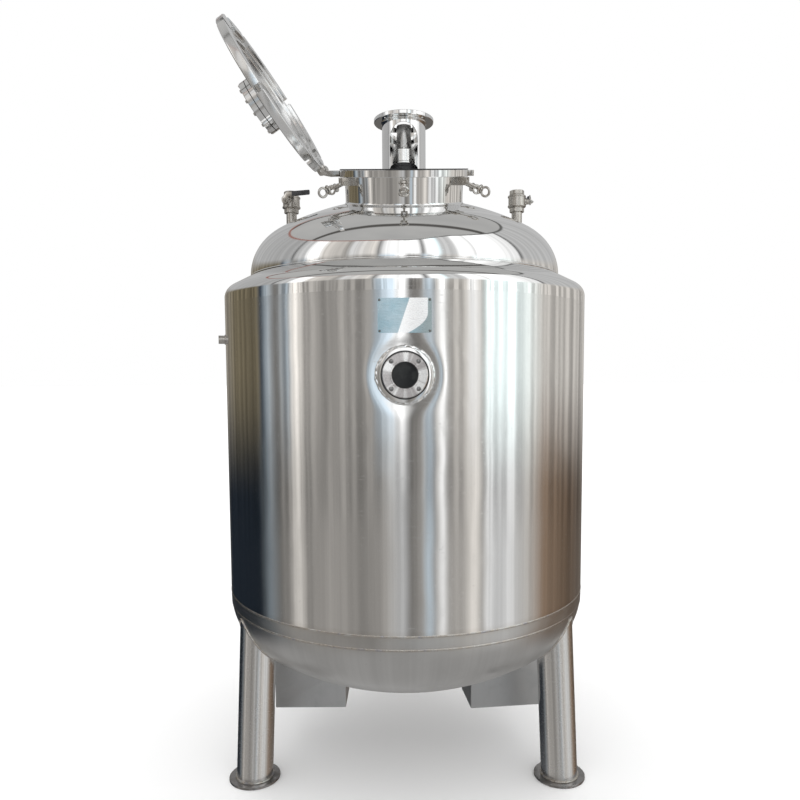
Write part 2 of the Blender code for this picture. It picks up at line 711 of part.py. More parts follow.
def valve_body_profile():
    """A three-piece ball valve's body, with the socket in its upper end."""
    top = VALVE_HEIGHT
    socket = 0.013
    return [(socket, top), (0.0245, top), (0.0245, top - 0.014), (0.0305, top - 0.016),
            (0.0305, 0.016), (0.0245, 0.014), (0.0245, 0.0), (0.0, 0.0),
            (0.0, top - 0.022), (socket, top - 0.022)]


def handle_outline():
    """A lever that rises from the stem and runs out level, as (x, z) points."""
    rise = 0.018
    hub = arc((0.0, 0.0), 0.012, -180.0, 0.0, 8)
    return hub + [(0.014, rise - 0.008), (0.026, rise - 0.007),
                  (HANDLE_LENGTH - 0.006, rise - 0.007), (HANDLE_LENGTH, rise - 0.001),
                  (HANDLE_LENGTH, rise + 0.003),
                  (HANDLE_LENGTH - 0.006, rise + 0.008), (0.006, rise + 0.008),
                  (-0.012, 0.008)]


def make_valve(name, side, turn, dome):
    """A ball valve on its nipple, with the stem turned about the vertical."""
    x = side * VALVE_X
    at = frame(name + "_axis", (x, 0, 0))
    nipple = turned(name + "_nipple", ring(NIPPLE_RADIUS, NIPPLE_RADIUS - NIPPLE_WALL, 1.60,
                                           VALVE_LOW - GAP), "cast_steel", steps=20, parent=at)
    cut(nipple, dome)
    seat = frame(name + "_seat", (x, 0, VALVE_LOW), (0, 0, turn))
    body = turned(name + "_body", valve_body_profile(), "cast_steel", steps=16, parent=seat)
    stem_height = VALVE_HEIGHT / 2
    boss = tool(name + "_boss", rod_mesh(0.009, -STEM_REACH, -0.015, 16, "Y"), seat)
    boss.location.z = stem_height
    join(body, boss)
    stem = frame(name + "_stem", (0, -STEM_REACH - GAP - 0.003, stem_height), parent=seat)
    piece(name + "_handle", outline_mesh(handle_outline(), 0.003), "black_plastic", stem)


def make_sight_port():
    """Neck through the jacket, welded pad, glass and cover ring, facing the front."""
    # The profiles are turned about Z, and the frame lays their +Z along -Y
    port = frame("port_axis", (0, 0, PORT_HEIGHT), (math.pi / 2, 0, 0))
    skin = skin_block("jacket_skin", JACKET_RADIUS + GAP, 1.12, 1.45)
    inner_skin = skin_block("vessel_skin", VESSEL_RADIUS + GAP, 1.12, 1.45)
    pad_face = JACKET_RADIUS + 0.017
    pocket = pad_face - 0.0077
    neck = turned("port_neck", ring(PORT_NECK_RADIUS, PORT_NECK_BORE, 0.49, pocket - GAP),
                  "mirror_steel", steps=24, parent=port)
    cut(neck, inner_skin)
    pad = turned("port_pad", [
        (PORT_PAD_RADIUS, pad_face - 0.004), (PORT_PAD_RADIUS, 0.57),
        (PORT_NECK_RADIUS + GAP, 0.57), (PORT_NECK_RADIUS + GAP, pocket),
        (PORT_GLASS_RADIUS + GAP, pocket), (PORT_GLASS_RADIUS + GAP, pad_face),
        (PORT_PAD_RADIUS - 0.006, pad_face)], "mirror_steel", steps=24, parent=port)
    cut(pad, skin)
    glass_face = pad_face + 0.0033
    turned("port_glass", [(0.0, glass_face), (PORT_GLASS_RADIUS, glass_face),
                          (PORT_GLASS_RADIUS, pocket + GAP), (0.0, pocket + GAP)],
           "sight_glass", closed=False, steps=24, parent=port)
    face = pad_face + 0.0147
    turned("port_ring", [
        (PORT_GLASS_SIGHT, face + 0.002), (PORT_LIP_RADIUS, face + 0.002),
        (PORT_LIP_RADIUS, face), (PORT_RING_RADIUS - 0.002, face),
        (PORT_RING_RADIUS, face - 0.002), (PORT_RING_RADIUS, pad_face + GAP),
        (PORT_GLASS_RADIUS + GAP, pad_face + GAP), (PORT_GLASS_RADIUS + GAP, glass_face + GAP),
        (PORT_GLASS_SIGHT, glass_face + GAP)], "mirror_steel", steps=24, parent=port)


def make_name_plate():
    """A thin plate that follows the jacket's curve, with nothing written on it."""
    bm = bmesh.new()
    bmesh.ops.create_cube(bm, size=1.0)
    along = [edge for edge in bm.edges
             if abs(edge.verts[0].co.x - edge.verts[1].co.x) > 0.5]
    bmesh.ops.subdivide_edges(bm, edges=along, cuts=7, use_grid_fill=True)
    for vert in bm.verts:
        angle = vert.co.x * PLATE_WIDTH / JACKET_RADIUS
        radius = JACKET_RADIUS + GAP + PLATE_SHEET * (0.5 - vert.co.y)
        height = PLATE_CENTRE + vert.co.z * PLATE_HEIGHT
        vert.co = (radius * math.sin(angle), -radius * math.cos(angle), height)
    piece("name_plate", mesh_from(bm, "name_plate"), "mirror_steel")


def make_side_coupling():
    """A short threaded coupling for a temperature probe, on the left of the jacket."""
    at = frame("side_coupling_axis", (0, 0, SIDE_COUPLING_HEIGHT),
               (0, math.pi / 2, SIDE_COUPLING_ANGLE))
    low = JACKET_RADIUS - 0.006
    high = JACKET_RADIUS + SIDE_COUPLING_REACH
    floor = high - SIDE_COUPLING_DEPTH
    made = turned("side_coupling", [
        (SIDE_COUPLING_BORE, high), (SIDE_COUPLING_RADIUS, high), (SIDE_COUPLING_RADIUS, low),
        (0.0, low), (0.0, floor), (SIDE_COUPLING_BORE, floor)], "cast_steel", steps=20,
        parent=at)
    cut(made, skin_block("coupling_skin", JACKET_RADIUS + GAP, 1.35, 1.45))


def make_legs(tank):
    """Three pipe legs that lean in to the jacket's lower end, on round feet."""
    floor = tool("floor_block", box_mesh((-0.8, -0.8, -0.1), (0.8, 0.8, FOOT_THICK + GAP)))
    for name, angle in LEG_PLACES:
        place = math.radians(angle)
        foot_at = frame(name + "_foot_axis",
                        (LEG_CIRCLE * math.cos(place), LEG_CIRCLE * math.sin(place), 0),
                        (0, 0, place))
        lean = frame(name + "_leg_axis", (0, 0, 0), (0, -LEG_LEAN, 0), foot_at)
        leg = turned("leg_" + name, ring(LEG_RADIUS, LEG_RADIUS - LEG_WALL, -0.02, 0.60),
                     "satin_pipe", steps=24, parent=lean)
        cut(leg, tank, floor)
        edge = 0.0015
        turned("foot_" + name, [
            (0.0, FOOT_THICK), (FOOT_RADIUS - edge, FOOT_THICK),
            (FOOT_RADIUS, FOOT_THICK - edge), (FOOT_RADIUS, 0.0), (0.0, 0.0)],
            "dark_steel", closed=False, steps=24, parent=foot_at)


def make_heater_covers(tank):
    """Sheet boxes over the heaters' terminals, hanging under the lower end."""
    for name, side, turn in (("left", -1, 0.0), ("right", 1, RIGHT_COVER_TURN)):
        bm = bmesh.new()
        bmesh.ops.create_cube(bm, size=1.0)
        high = 0.42
        bmesh.ops.scale(bm, vec=(COVER_WIDTH, COVER_DEPTH, high - COVER_LOW), verts=bm.verts)
        bmesh.ops.translate(bm, vec=(0, 0, (high + COVER_LOW) / 2), verts=bm.verts)
        lid = [face for face in bm.faces if face.normal.z > 0.5]
        bmesh.ops.delete(bm, geom=lid, context="FACES_ONLY")
        cover = piece("heater_cover_" + name, mesh_from(bm, "cover"), "grey_sheet")
        cover.location.x = side * COVER_CENTRE
        cover.rotation_euler.z = turn
        thicken(cover, COVER_SHEET)
        cut(cover, tank)


def make_outlet():
    """The bottom outlet, from the vessel down through the jacket to its ferrule."""
    outlet = turned("bottom_outlet", [
        (OUTLET_RADIUS, 0.40), (OUTLET_RADIUS, OUTLET_LOW + 0.010),
        (0.032, OUTLET_LOW + 0.006), (0.032, OUTLET_LOW), (OUTLET_BORE, OUTLET_LOW),
        (OUTLET_BORE, 0.40)], "mirror_steel", steps=16)
    rim = VESSEL_LOW + 0.05
    block = turned_tool("vessel_block", [(0.0, rim), (VESSEL_RADIUS + GAP, rim)]
                        + vessel_end_profile(GAP), closed=False)
    cut(outlet, block)


def main():
    clear_scene()
    crown_centre = DOME_TANGENT - math.sqrt((CROWN_RADIUS - DOME_KNUCKLE) ** 2
                                            - (VESSEL_RADIUS - DOME_KNUCKLE) ** 2)
    reach = CROWN_RADIUS + MANWAY_HEIGHT
    manway = frame("manway_axis", (0, -reach * math.sin(MANWAY_TILT),
                                   crown_centre + reach * math.cos(MANWAY_TILT)),
                   (MANWAY_TILT, 0, 0))
    dome = dome_block()
    tank = tank_block()
    make_jacket()
    make_vessel(manway)
    make_manway(manway, dome)
    make_hinge(manway)
    make_lid(manway)
    make_swing_bolts(manway)
    make_stand(dome)
    make_agitator()
    make_valve("left_valve", -1, math.radians(-20.0), dome)
    make_valve("right_valve", 1, math.radians(90.0), dome)
    make_sight_port()
    make_name_plate()
    make_side_coupling()
    make_legs(tank)
    make_heater_covers(tank)
    make_outlet()


if __name__ == "__main__":
    main()
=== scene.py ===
"""The looks of a heated mixing tank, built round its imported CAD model.

Metres, +Z up, -Y is the front. The manway, the name plate and the sight port
are at the front, and the lid's hinge is on the left, at -X.
"""

import json
import math

import bpy
from bpy.props import FloatProperty, FloatVectorProperty, IntProperty, PointerProperty
from bpy.types import Operator, Panel, PropertyGroup
from mathutils import Matrix, Vector
from mathutils.kdtree import KDTree


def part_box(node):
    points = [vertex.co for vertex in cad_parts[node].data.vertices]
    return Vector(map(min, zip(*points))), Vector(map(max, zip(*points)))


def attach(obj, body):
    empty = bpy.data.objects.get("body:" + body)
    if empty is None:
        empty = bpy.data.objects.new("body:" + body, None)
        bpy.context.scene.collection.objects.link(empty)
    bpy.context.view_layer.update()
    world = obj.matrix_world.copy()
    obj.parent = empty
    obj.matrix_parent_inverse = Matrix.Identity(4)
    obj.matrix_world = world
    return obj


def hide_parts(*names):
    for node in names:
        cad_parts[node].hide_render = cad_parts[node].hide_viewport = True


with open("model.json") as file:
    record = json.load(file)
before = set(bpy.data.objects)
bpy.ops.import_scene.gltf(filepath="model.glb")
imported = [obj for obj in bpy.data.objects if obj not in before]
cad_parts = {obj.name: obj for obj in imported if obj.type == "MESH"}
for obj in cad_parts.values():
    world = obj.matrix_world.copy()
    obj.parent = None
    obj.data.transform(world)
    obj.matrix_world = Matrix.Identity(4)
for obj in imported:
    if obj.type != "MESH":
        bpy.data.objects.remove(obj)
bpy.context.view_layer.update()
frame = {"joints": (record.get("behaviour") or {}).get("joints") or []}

bl_info = {
    "name": "Heated Mixing Tank",
    "version": (1, 0, 0),
    "blender": (4, 5, 0),
    "location": "3D View > Sidebar > Tank",
    "description": "Builds the visible pieces and the finishes of a jacketed mixing tank",
    "category": "Object",
}

# Distance under which corners are merged, and the angle above which an edge is sharp
MERGE = 0.00001
SHARP = math.radians(32.0)
JOINTS = {joint["name"]: joint for joint in frame["joints"]}
LOW, HIGH = 0, 1

# The attribute that holds the coordinates that a piece had before it was placed
OWN_PLACE = "own_place"


def edge_of(node, side, axis):
    """One coordinate of a CAD node's box at rest."""
    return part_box(node)[side][axis]


# Heights between which a pipe meets the dome, each in its own frame
STAND_SPAN = (1.70, 2.00)
VALVE_SPAN = (1.60, 1.90)
MANWAY_SPAN = (-0.14, 0.0)

# Jacket and vessel, as the frame has them
JACKET_RADIUS = edge_of("jacket_wall", HIGH, 0)
JACKET_TOP = edge_of("jacket_wall", HIGH, 2)
JACKET_SEAM = edge_of("jacket_wall", LOW, 2)
JACKET_POLE = edge_of("jacket_bottom", LOW, 2)
JACKET_SHEET = 0.003
END_SEAM_DROP = 0.038
SHOULDER_TOP = edge_of("jacket_shoulder", HIGH, 2)
SHOULDER_FILLET = 0.040
SHOULDER_SLOPE = math.radians(27.5)
VESSEL_RADIUS = edge_of("vessel_wall", HIGH, 0)
VESSEL_TOP = edge_of("vessel_wall", HIGH, 2)
VESSEL_SEAM = edge_of("vessel_wall", LOW, 2)
VESSEL_SHEET = 0.004
DOME_SHEET = 0.005
END_LIP = 0.014
DOME_LIP = 0.004
CROWN_RADIUS = 0.900
JACKET_KNUCKLE = 0.200
DOME_KNUCKLE = 0.160
VESSEL_KNUCKLE = 0.120
KNUCKLE_STEPS, CROWN_STEPS = 16, 36
JACKET_TANGENT = JACKET_SEAM - END_LIP
DOME_TANGENT = VESSEL_TOP + DOME_LIP
VESSEL_TANGENT = VESSEL_SEAM - END_LIP

# Manway: its axis leans to the front, as the lid's hinge says
HINGE = JOINTS["lid_hinge"]
TILT = math.atan2(HINGE["axis"][2], HINGE["axis"][1])
HINGE_REACH = -HINGE["pos_m"][0]
LID_OPEN = math.radians(HINGE["range_deg"][1])
MANWAY = (Matrix.Translation((0, HINGE["pos_m"][1], HINGE["pos_m"][2]))
          @ Matrix.Rotation(TILT, 4, "X"))
LID = (MANWAY @ Matrix.Translation((-HINGE_REACH, 0, 0)) @ Matrix.Rotation(-LID_OPEN, 4, "Y")
       @ Matrix.Translation((HINGE_REACH, 0, 0)))
NECK_RADIUS = 0.179
NECK_BORE = 0.173
FLANGE_RADIUS = 0.195
FLANGE_THICK = 0.020
GASKET_BORE = 0.176
LID_RADIUS = 0.243
LID_UNDER = 0.004
LID_PLATE = 0.004
LID_TOP = LID_UNDER + LID_PLATE
LID_RECESS = 0.204
LID_SEAT = 0.172
LID_CROWN = 0.0145
CROWN_TOP = LID_CROWN + LID_PLATE
LID_LIP = 0.235
LID_RIM_LOW = -0.005
LID_RIM_HIGH = 0.020
LID_ROUNDING = 0.005
SIGHT_RADIUS = 0.081
SIGHT_BORE = 0.052
SIGHT_NECK = 0.060
SIGHT_GLASS = 0.067
SIGHT_RISE = 0.015
SIGHT_BASE = 0.018
SIGHT_SCREWS = 12
SIGHT_SCREW_CIRCLE = 0.0742
HINGE_PIN = 0.005
EYE_RADIUS = 0.012
STRAP_HALF_WIDTH = 0.0195
STRAP_THICK = 0.008
STRAP_REACH = 0.064
EAR_THICK = 0.008
EAR_RADIUS = 0.014
LATCH_HALF_WIDTH = 0.016

# Swing bolts round the manway, with their angle from +X and the turn of their ring
BOLTS = {"front": (-90, 90), "right_front": (-30, 0), "right_back": (30, 0),
         "back": (90, 90), "left_back": (150, 0), "left_front": (-150, 0)}
BOLT_CIRCLE = 0.205
BOLT_PIVOT_DROP = 0.034
BOLT_DROOP = 22
BOLT_EYE = 0.009
BOLT_EYE_HALF = 0.005
BOLT_PIN = 0.0035
BOLT_SHANK = 0.005
BOLT_SLOT_PLAY = 0.005
BOLT_NUT_SEAT = 0.050
BOLT_NUT_RADIUS = 0.014
BOLT_NUT_THICK = 0.006
RING_MAJOR = 0.0125
RING_MINOR = 0.0035
RING_CENTRE = 0.0705

# Stand, seal and agitator, on an upright axis behind the manway
STAND_Y = JOINTS["agitator_spin"]["pos_m"][1]
STAND = Matrix.Translation((0, STAND_Y, 0))
STAND_RADIUS = edge_of("stand_tube", HIGH, 0)
STAND_TOP = edge_of("stand_tube", HIGH, 2)
STAND_WALL = 0.004
STAND_FLANGE = edge_of("stand_flange", HIGH, 0)
STAND_FLANGE_TOP = edge_of("stand_flange", HIGH, 2)
WINDOW_HALF = 0.0485
WINDOW_LOW = 1.930
WINDOW_HIGH = 2.157
SHAFT_RADIUS = 0.0175
NOZZLE_RADIUS = 0.038
NOZZLE_BORE = 0.034

# Ball valves on the dome
VALVE_X = (edge_of("right_valve_nipple", LOW, 0) + edge_of("right_valve_nipple", HIGH, 0)) / 2
VALVE_LOW = edge_of("right_valve_body", LOW, 2)
VALVE_HEIGHT = edge_of("right_valve_body", HIGH, 2) - VALVE_LOW
NIPPLE_RADIUS = 0.0175
NIPPLE_BORE = 0.0145

# Legs and feet
FEET = {name: (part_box("foot_" + name)[LOW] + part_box("foot_" + name)[HIGH]) / 2
        for name in ("left_front", "right_front", "rear")}
FOOT_RADIUS = 0.080
FOOT_THICK = edge_of("foot_rear", HIGH, 2)
LEG_RADIUS = 0.057
LEG_WALL = 0.003
LEG_LEAN = math.radians(2.66)

# Sight port and what else sits on the jacket
PORT_HEIGHT = (edge_of("port_ring", LOW, 2) + edge_of("port_ring", HIGH, 2)) / 2
PORT = Matrix.Translation((0, 0, PORT_HEIGHT)) @ Matrix.Rotation(math.pi / 2, 4, "X")
PORT_PAD = 0.0735
PORT_FACE = 0.617
PORT_HOLE = 0.045
PORT_BORE = 0.040
PORT_BACK = 0.588
PORT_NECK_LOW = 0.506
SIDE_COUPLING_ANGLE = math.radians(194.0)
SIDE_COUPLING_HEIGHT = 1.400
COVER_REACH = 0.333

# The camera's turns in degrees, and its shift in parts of the picture
CAMERA_PITCH = 85.5
CAMERA_ROLL = -0.3
CAMERA_SHIFT = (-5.3 / 800, 31.0 / 800)


class TankSizes(PropertyGroup):
    """Sizes of what the looks add to the solids."""

    round_steps: IntProperty(
        name="Round Steps", description="Facets round the largest shells",
        default=192, min=48, max=360)
    small_steps: IntProperty(
        name="Small Steps", description="Facets round the small fittings",
        default=48, min=16, max=96)
    weld_width: FloatProperty(
        name="Weld Width", description="Width of a dressed weld bead",
        default=0.008, min=0.002, max=0.02, unit="LENGTH", subtype="DISTANCE")
    port_dimple: FloatProperty(
        name="Port Dimple", description="How far the port's weld pulled the shell in",
        default=0.0022, min=0.0, max=0.01, unit="LENGTH", subtype="DISTANCE")


class TankFinishes(PropertyGroup):
    """Colours and polish of the tank's finishes."""

    steel: FloatVectorProperty(
        name="Steel", description="Colour of the stainless steel",
        default=(0.80, 0.80, 0.795), min=0.0, max=1.0, size=3, subtype="COLOR")
    dull_steel: FloatVectorProperty(
        name="Dull Steel", description="Colour of the lower end and the inner wall",
        default=(0.58, 0.575, 0.565), min=0.0, max=1.0, size=3, subtype="COLOR")
    heat_tint: FloatVectorProperty(
        name="Heat Tint", description="Colour that welding heat leaves beside a bead",
        default=(0.45, 0.40, 0.34), min=0.0, max=1.0, size=3, subtype="COLOR")
    mirror_roughness: FloatProperty(
        name="Mirror Roughness", description="Roughness of the mirror polish",
        default=0.03, min=0.0, max=1.0, subtype="FACTOR")
    brushed_roughness: FloatProperty(
        name="Brushed Roughness", description="Roughness of the brushed jacket",
        default=0.065, min=0.0, max=1.0, subtype="FACTOR")


class TankStudio(PropertyGroup):
    """Camera, floor and light."""

    floor_colour: FloatVectorProperty(
        name="Floor", description="Colour of the plain floor",
        default=(0.98, 0.98, 0.98), min=0.0, max=1.0, size=3, subtype="COLOR")
    light_strength: FloatProperty(
        name="Light Strength", description="Strength of the studio's surroundings",
        default=1.0, min=0.0, max=10.0)
    focal_length: FloatProperty(
        name="Focal Length", description="Focal length on a 36 mm sensor, in millimetres",
        default=32.4, min=10.0, max=200.0)
    eye_distance: FloatProperty(
        name="Eye Distance", description="Distance of the camera from the tank's axis",
        default=2.5, min=1.0, max=20.0, unit="LENGTH", subtype="DISTANCE")
    eye_height: FloatProperty(
        name="Eye Height", description="Height of the camera above the floor",
        default=1.285, min=0.0, max=5.0, unit="LENGTH", subtype="DISTANCE")


def sizes():
    return bpy.context.scene.tank_sizes


def finishes():
    return bpy.context.scene.tank_finishes


def start():
    """Leaves edit mode and selects nothing, because operators act on all that is selected."""
    if bpy.context.object and bpy.context.object.mode != "OBJECT":
        bpy.ops.object.mode_set(mode="OBJECT")
    bpy.ops.object.select_all(action="DESELECT")


def pick(*pieces):
    """Selects these objects alone, the first of them active."""
    start()
    for piece in pieces:
        piece.select_set(True)
    bpy.context.view_layer.objects.active = pieces[0]
    return pieces[0]


def pick_faces(piece, test):
    """Selects the faces of a piece that pass a test, and goes to edit mode."""
    pick(piece)
    bpy.ops.object.mode_set(mode="EDIT")
    bpy.ops.mesh.select_all(action="DESELECT")
    bpy.ops.object.mode_set(mode="OBJECT")
    for face in piece.data.polygons:
        face.select = test(face)
    bpy.ops.object.mode_set(mode="EDIT")


def apply_place(piece):
    """Puts the object's place and turn into its mesh."""
    pick(piece)
    bpy.ops.object.transform_apply(location=True, rotation=True, scale=True)
    return piece


def named(name):
    """Names the active object, and puts its place in its mesh."""
    piece = bpy.context.object
    piece.name = piece.data.name = name
    return apply_place(piece)


def tidy():
    """Merges doubled corners and turns the faces outwards."""
    bpy.ops.mesh.select_all(action="SELECT")
    bpy.ops.mesh.remove_doubles(threshold=MERGE)
    bpy.ops.mesh.normals_make_consistent(inside=False)
    bpy.ops.object.mode_set(mode="OBJECT")


def draw(points, closed=False):
    """Draws corners joined by edges, one after the other, and stays in edit mode."""
    start()
    points = [Vector(point) for point in points]
    bpy.ops.mesh.primitive_plane_add(size=1.0, location=points[0])
    bpy.ops.object.mode_set(mode="EDIT")
    bpy.ops.mesh.merge(type="CENTER")
    for near, far in zip(points, points[1:] + (points[:1] if closed else [])):
        bpy.ops.mesh.extrude_region_move(TRANSFORM_OT_translate={"value": far - near})
    bpy.ops.mesh.select_all(action="SELECT")


def turned(name, outline, steps=None, closed=True):
    """A shape turned about Z from an outline of (radius, height) points."""
    draw([(radius, 0, height) for radius, height in outline], closed)
    bpy.ops.mesh.spin(steps=steps or sizes().small_steps, angle=math.tau, center=(0, 0, 0),
                      axis=(0, 0, 1))
    tidy()
    return named(name)


def plate(name, outline, along):
    """A flat outline that is extruded along a vector."""
    draw(outline, closed=True)
    bpy.ops.mesh.remove_doubles(threshold=MERGE)
    bpy.ops.mesh.edge_face_add()
    bpy.ops.mesh.extrude_region_move(TRANSFORM_OT_translate={"value": along})
    tidy()
    return named(name)


def bar(name, path, radius, closed=False):
    """A round bar or bead that follows a path."""
    draw(path, closed)
    bpy.ops.mesh.remove_doubles(threshold=MERGE)
    bpy.ops.object.mode_set(mode="OBJECT")
    bpy.ops.object.convert(target="CURVE")
    curve = bpy.context.object.data
    curve.bevel_depth = radius
    curve.bevel_resolution = 3
    curve.use_fill_caps = not closed
    bpy.ops.object.convert(target="MESH")
    bpy.ops.object.mode_set(mode="EDIT")
    tidy()
    return named(name)


def rod(name, radius, low, high, steps=24, chamfer=0.0):
    """A round or many-sided bar along Z, with its ends chamfered."""
    start()
    bpy.ops.mesh.primitive_cylinder_add(vertices=steps, radius=radius, depth=high - low,
                                        location=(0, 0, (low + high) / 2))
    piece = named(name)
    if chamfer:
        soften(piece, chamfer, 1, math.radians(50.0))
    return piece


def block(name, low, high, chamfer=0.0):
    """A box between two corners, with its edges chamfered."""
    start()
    low, high = Vector(low), Vector(high)
    bpy.ops.mesh.primitive_cube_add(size=1.0, location=(low + high) / 2)
    bpy.context.object.scale = high - low
    piece = named(name)
    if chamfer:
        soften(piece, chamfer)
    return piece


def apply_modifiers(piece):
    pick(piece)
    for modifier in list(piece.modifiers):
        bpy.ops.object.modifier_apply(modifier=modifier.name)
    return piece


def soften(piece, width, segments=2, angle=SHARP):
    """Rounds the edges that are sharper than the angle."""
    bevel = piece.modifiers.new("Edges", "BEVEL")
    bevel.width = width
    bevel.segments = segments
    bevel.limit_method = "ANGLE"
    bevel.angle_limit = angle
    bevel.use_clamp_overlap = True
    return apply_modifiers(piece)


def wall(piece, sheet):
    """Gives an open skin its thickness, inwards."""
    shell = piece.modifiers.new("Sheet", "SOLIDIFY")
    shell.thickness = sheet
    shell.offset = -1.0
    shell.use_even_offset = True
    return apply_modifiers(piece)


def cut(piece, *cutters):
    """Cuts shapes out of a piece, and removes them."""
    for cutter in cutters:
        step = piece.modifiers.new("Cut", "BOOLEAN")
        step.operation = "DIFFERENCE"
        step.solver = "EXACT"
        step.object = cutter
        apply_modifiers(piece)
        bpy.data.objects.remove(cutter)
    return piece


def placed(piece, matrix):
    """Moves a piece by a matrix, and puts its place in its mesh."""
    piece.matrix_world = matrix @ piece.matrix_world
    return apply_place(piece)


def copied(piece, name, matrix):
    """A copy with its own mesh, moved by a matrix."""
    pick(piece)
    bpy.ops.object.duplicate(linked=False)
    twin = bpy.context.object
    twin.name = twin.data.name = name
    return placed(twin, matrix)


def joined(name, *pieces):
    """Joins pieces into one object."""
    piece = pick(*pieces)
    if len(pieces) > 1:
        bpy.ops.object.join()
    piece.name = piece.data.name = name
    return piece


def ring(outer, inner, low, high):
    """The outline of a plain ring or pipe."""
    return [(outer, high), (outer, low), (inner, low), (inner, high)]


def arc(centre, radius, first, last, steps):
    """Points on an arc, with its angles in degrees."""
    turns = [math.radians(first + (last - first) * i / steps) for i in range(steps + 1)]
    return [(centre[0] + radius * math.cos(turn), centre[1] + radius * math.sin(turn))
            for turn in turns]


def turn(angle, axis="Z"):
    """A turn in degrees."""
    return Matrix.Rotation(math.radians(angle), 4, axis)


def move(x=0.0, y=0.0, z=0.0):
    return Matrix.Translation((x, y, z))


def keep_place(piece):
    """Writes a piece's coordinates to an attribute, before it is placed."""
    kept = piece.data.attributes.get(OWN_PLACE)
    if not kept:
        kept = piece.data.attributes.new(OWN_PLACE, "FLOAT_VECTOR", "POINT")
        for corner, value in zip(piece.data.vertices, kept.data):
            value.vector = corner.co
    return piece


def hand_over(piece, finish, body="root", stands_for=(), place=None, sharp=SHARP):
    """Gives a piece its finish, keeps its own coordinates, places it and puts it in the frame."""
    keep_place(piece)
    if place is not None:
        placed(piece, place)
    pick(piece)
    bpy.ops.object.shade_smooth_by_angle(angle=sharp)
    piece.data.materials.clear()
    piece.data.materials.append(finish)
    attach(piece, body)
    if stands_for:
        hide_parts(*([stands_for] if isinstance(stands_for, str) else stands_for))
    return piece


# Tints of the studio's surroundings, and how bright each is at an azimuth from the front.
# Positive azimuths are on the viewer's right. The three rows are high, level and low walls.
NAVY = (0.55, 0.75, 1.05)
TAN = (1.10, 0.93, 0.62)
COOL = (0.86, 1.00, 1.12)
WARM = (1.04, 0.99, 0.93)
RUST = (1.25, 0.88, 0.62)
PLAIN = (1.0, 1.0, 1.0)
WALL_GAIN, WALL_LIMIT = 1.18, 1.6
HIGH_SURROUND = (
    (-180, PLAIN, 0.45), (-89, PLAIN, 0.40), (-87, PLAIN, 0.08), (-85, PLAIN, 0.55),
    (-76, PLAIN, 0.60), (-72, PLAIN, 1.30), (-64, PLAIN, 1.40), (-60, WARM, 0.66),
    (-46, WARM, 0.55), (-42, WARM, 0.34), (-38, PLAIN, 0.66), (-22, WARM, 0.75),
    (-18, PLAIN, 0.25), (-15, PLAIN, 1.00), (9, PLAIN, 1.25), (13, PLAIN, 0.16),
    (16, PLAIN, 1.35), (24, COOL, 1.30), (27, PLAIN, 0.62), (37, PLAIN, 0.60),
    (40, PLAIN, 1.40), (48, PLAIN, 1.35), (51, PLAIN, 0.80), (55, PLAIN, 1.40),
    (72, PLAIN, 1.40), (78, PLAIN, 0.95), (90, PLAIN, 0.90), (93, PLAIN, 0.10),
    (96, PLAIN, 0.52), (180, PLAIN, 0.45),
)
UPPER_SURROUND = (
    (-180, WARM, 0.34), (-130, TAN, 0.16), (-101, TAN, 0.14), (-97, NAVY, 0.10),
    (-94, COOL, 0.42), (-84, WARM, 0.26), (-74, COOL, 0.40), (-71, WARM, 0.95),
    (-65, WARM, 0.85), (-62, WARM, 0.34), (-52, WARM, 0.46), (-48, WARM, 0.30),
    (-38, WARM, 0.38), (-26, WARM, 0.30), (-19, WARM, 0.34), (-16, COOL, 0.72),
    (-7, COOL, 0.80), (-5, PLAIN, 1.35), (0, PLAIN, 1.30), (3, WARM, 0.16),
    (10, WARM, 0.26), (14, COOL, 1.00), (18, WARM, 0.40), (22, PLAIN, 1.30),
    (26, WARM, 0.50), (37, WARM, 0.56), (40, PLAIN, 1.15), (46, WARM, 0.50),
    (50, COOL, 1.40), (66, COOL, 1.40), (92, WARM, 0.62), (180, WARM, 0.36),
)
LOWER_SURROUND = (
    (-180, WARM, 0.12), (-150, NAVY, 0.024), (-102, NAVY, 0.022), (-98, COOL, 0.08),
    (-94, COOL, 0.22), (-82, WARM, 0.16), (-74, WARM, 0.26), (-71, WARM, 0.62),
    (-66, WARM, 0.55), (-62, WARM, 0.24), (-48, WARM, 0.36), (-26, WARM, 0.22),
    (-17, WARM, 0.30), (-12, WARM, 0.34), (-3, PLAIN, 0.50), (0, PLAIN, 0.42),
    (3, WARM, 0.18), (10, WARM, 0.30), (14, COOL, 0.66), (18, WARM, 0.30),
    (22, PLAIN, 1.05), (26, WARM, 0.36), (37, WARM, 0.42), (41, WARM, 0.85),
    (46, WARM, 0.40), (51, PLAIN, 0.82), (58, PLAIN, 0.56), (66, PLAIN, 0.72),
    (80, WARM, 0.46), (94, RUST, 0.21), (120, RUST, 0.10), (180, WARM, 0.12),
)


def add(tree, kind, inputs=None, **settings):
    """Adds a node. An input that is a socket is linked, and any other value is set."""
    made = tree.nodes.new(kind)
    for key, value in settings.items():
        setattr(made, key, value)
    for key, value in (inputs or {}).items():
        if isinstance(value, bpy.types.NodeSocket):
            tree.links.new(value, made.inputs[key])
        else:
            made.inputs[key].default_value = value
    return made


def maths(tree, operation, first, second=0.0, third=0.0):
    made = add(tree, "ShaderNodeMath", {0: first, 1: second, 2: third}, operation=operation)
    return made.outputs[0]


def vector(tree, operation, first, second=(0.0, 0.0, 0.0)):
    made = add(tree, "ShaderNodeVectorMath", {0: first, 1: second}, operation=operation)
    return made.outputs["Vector"]


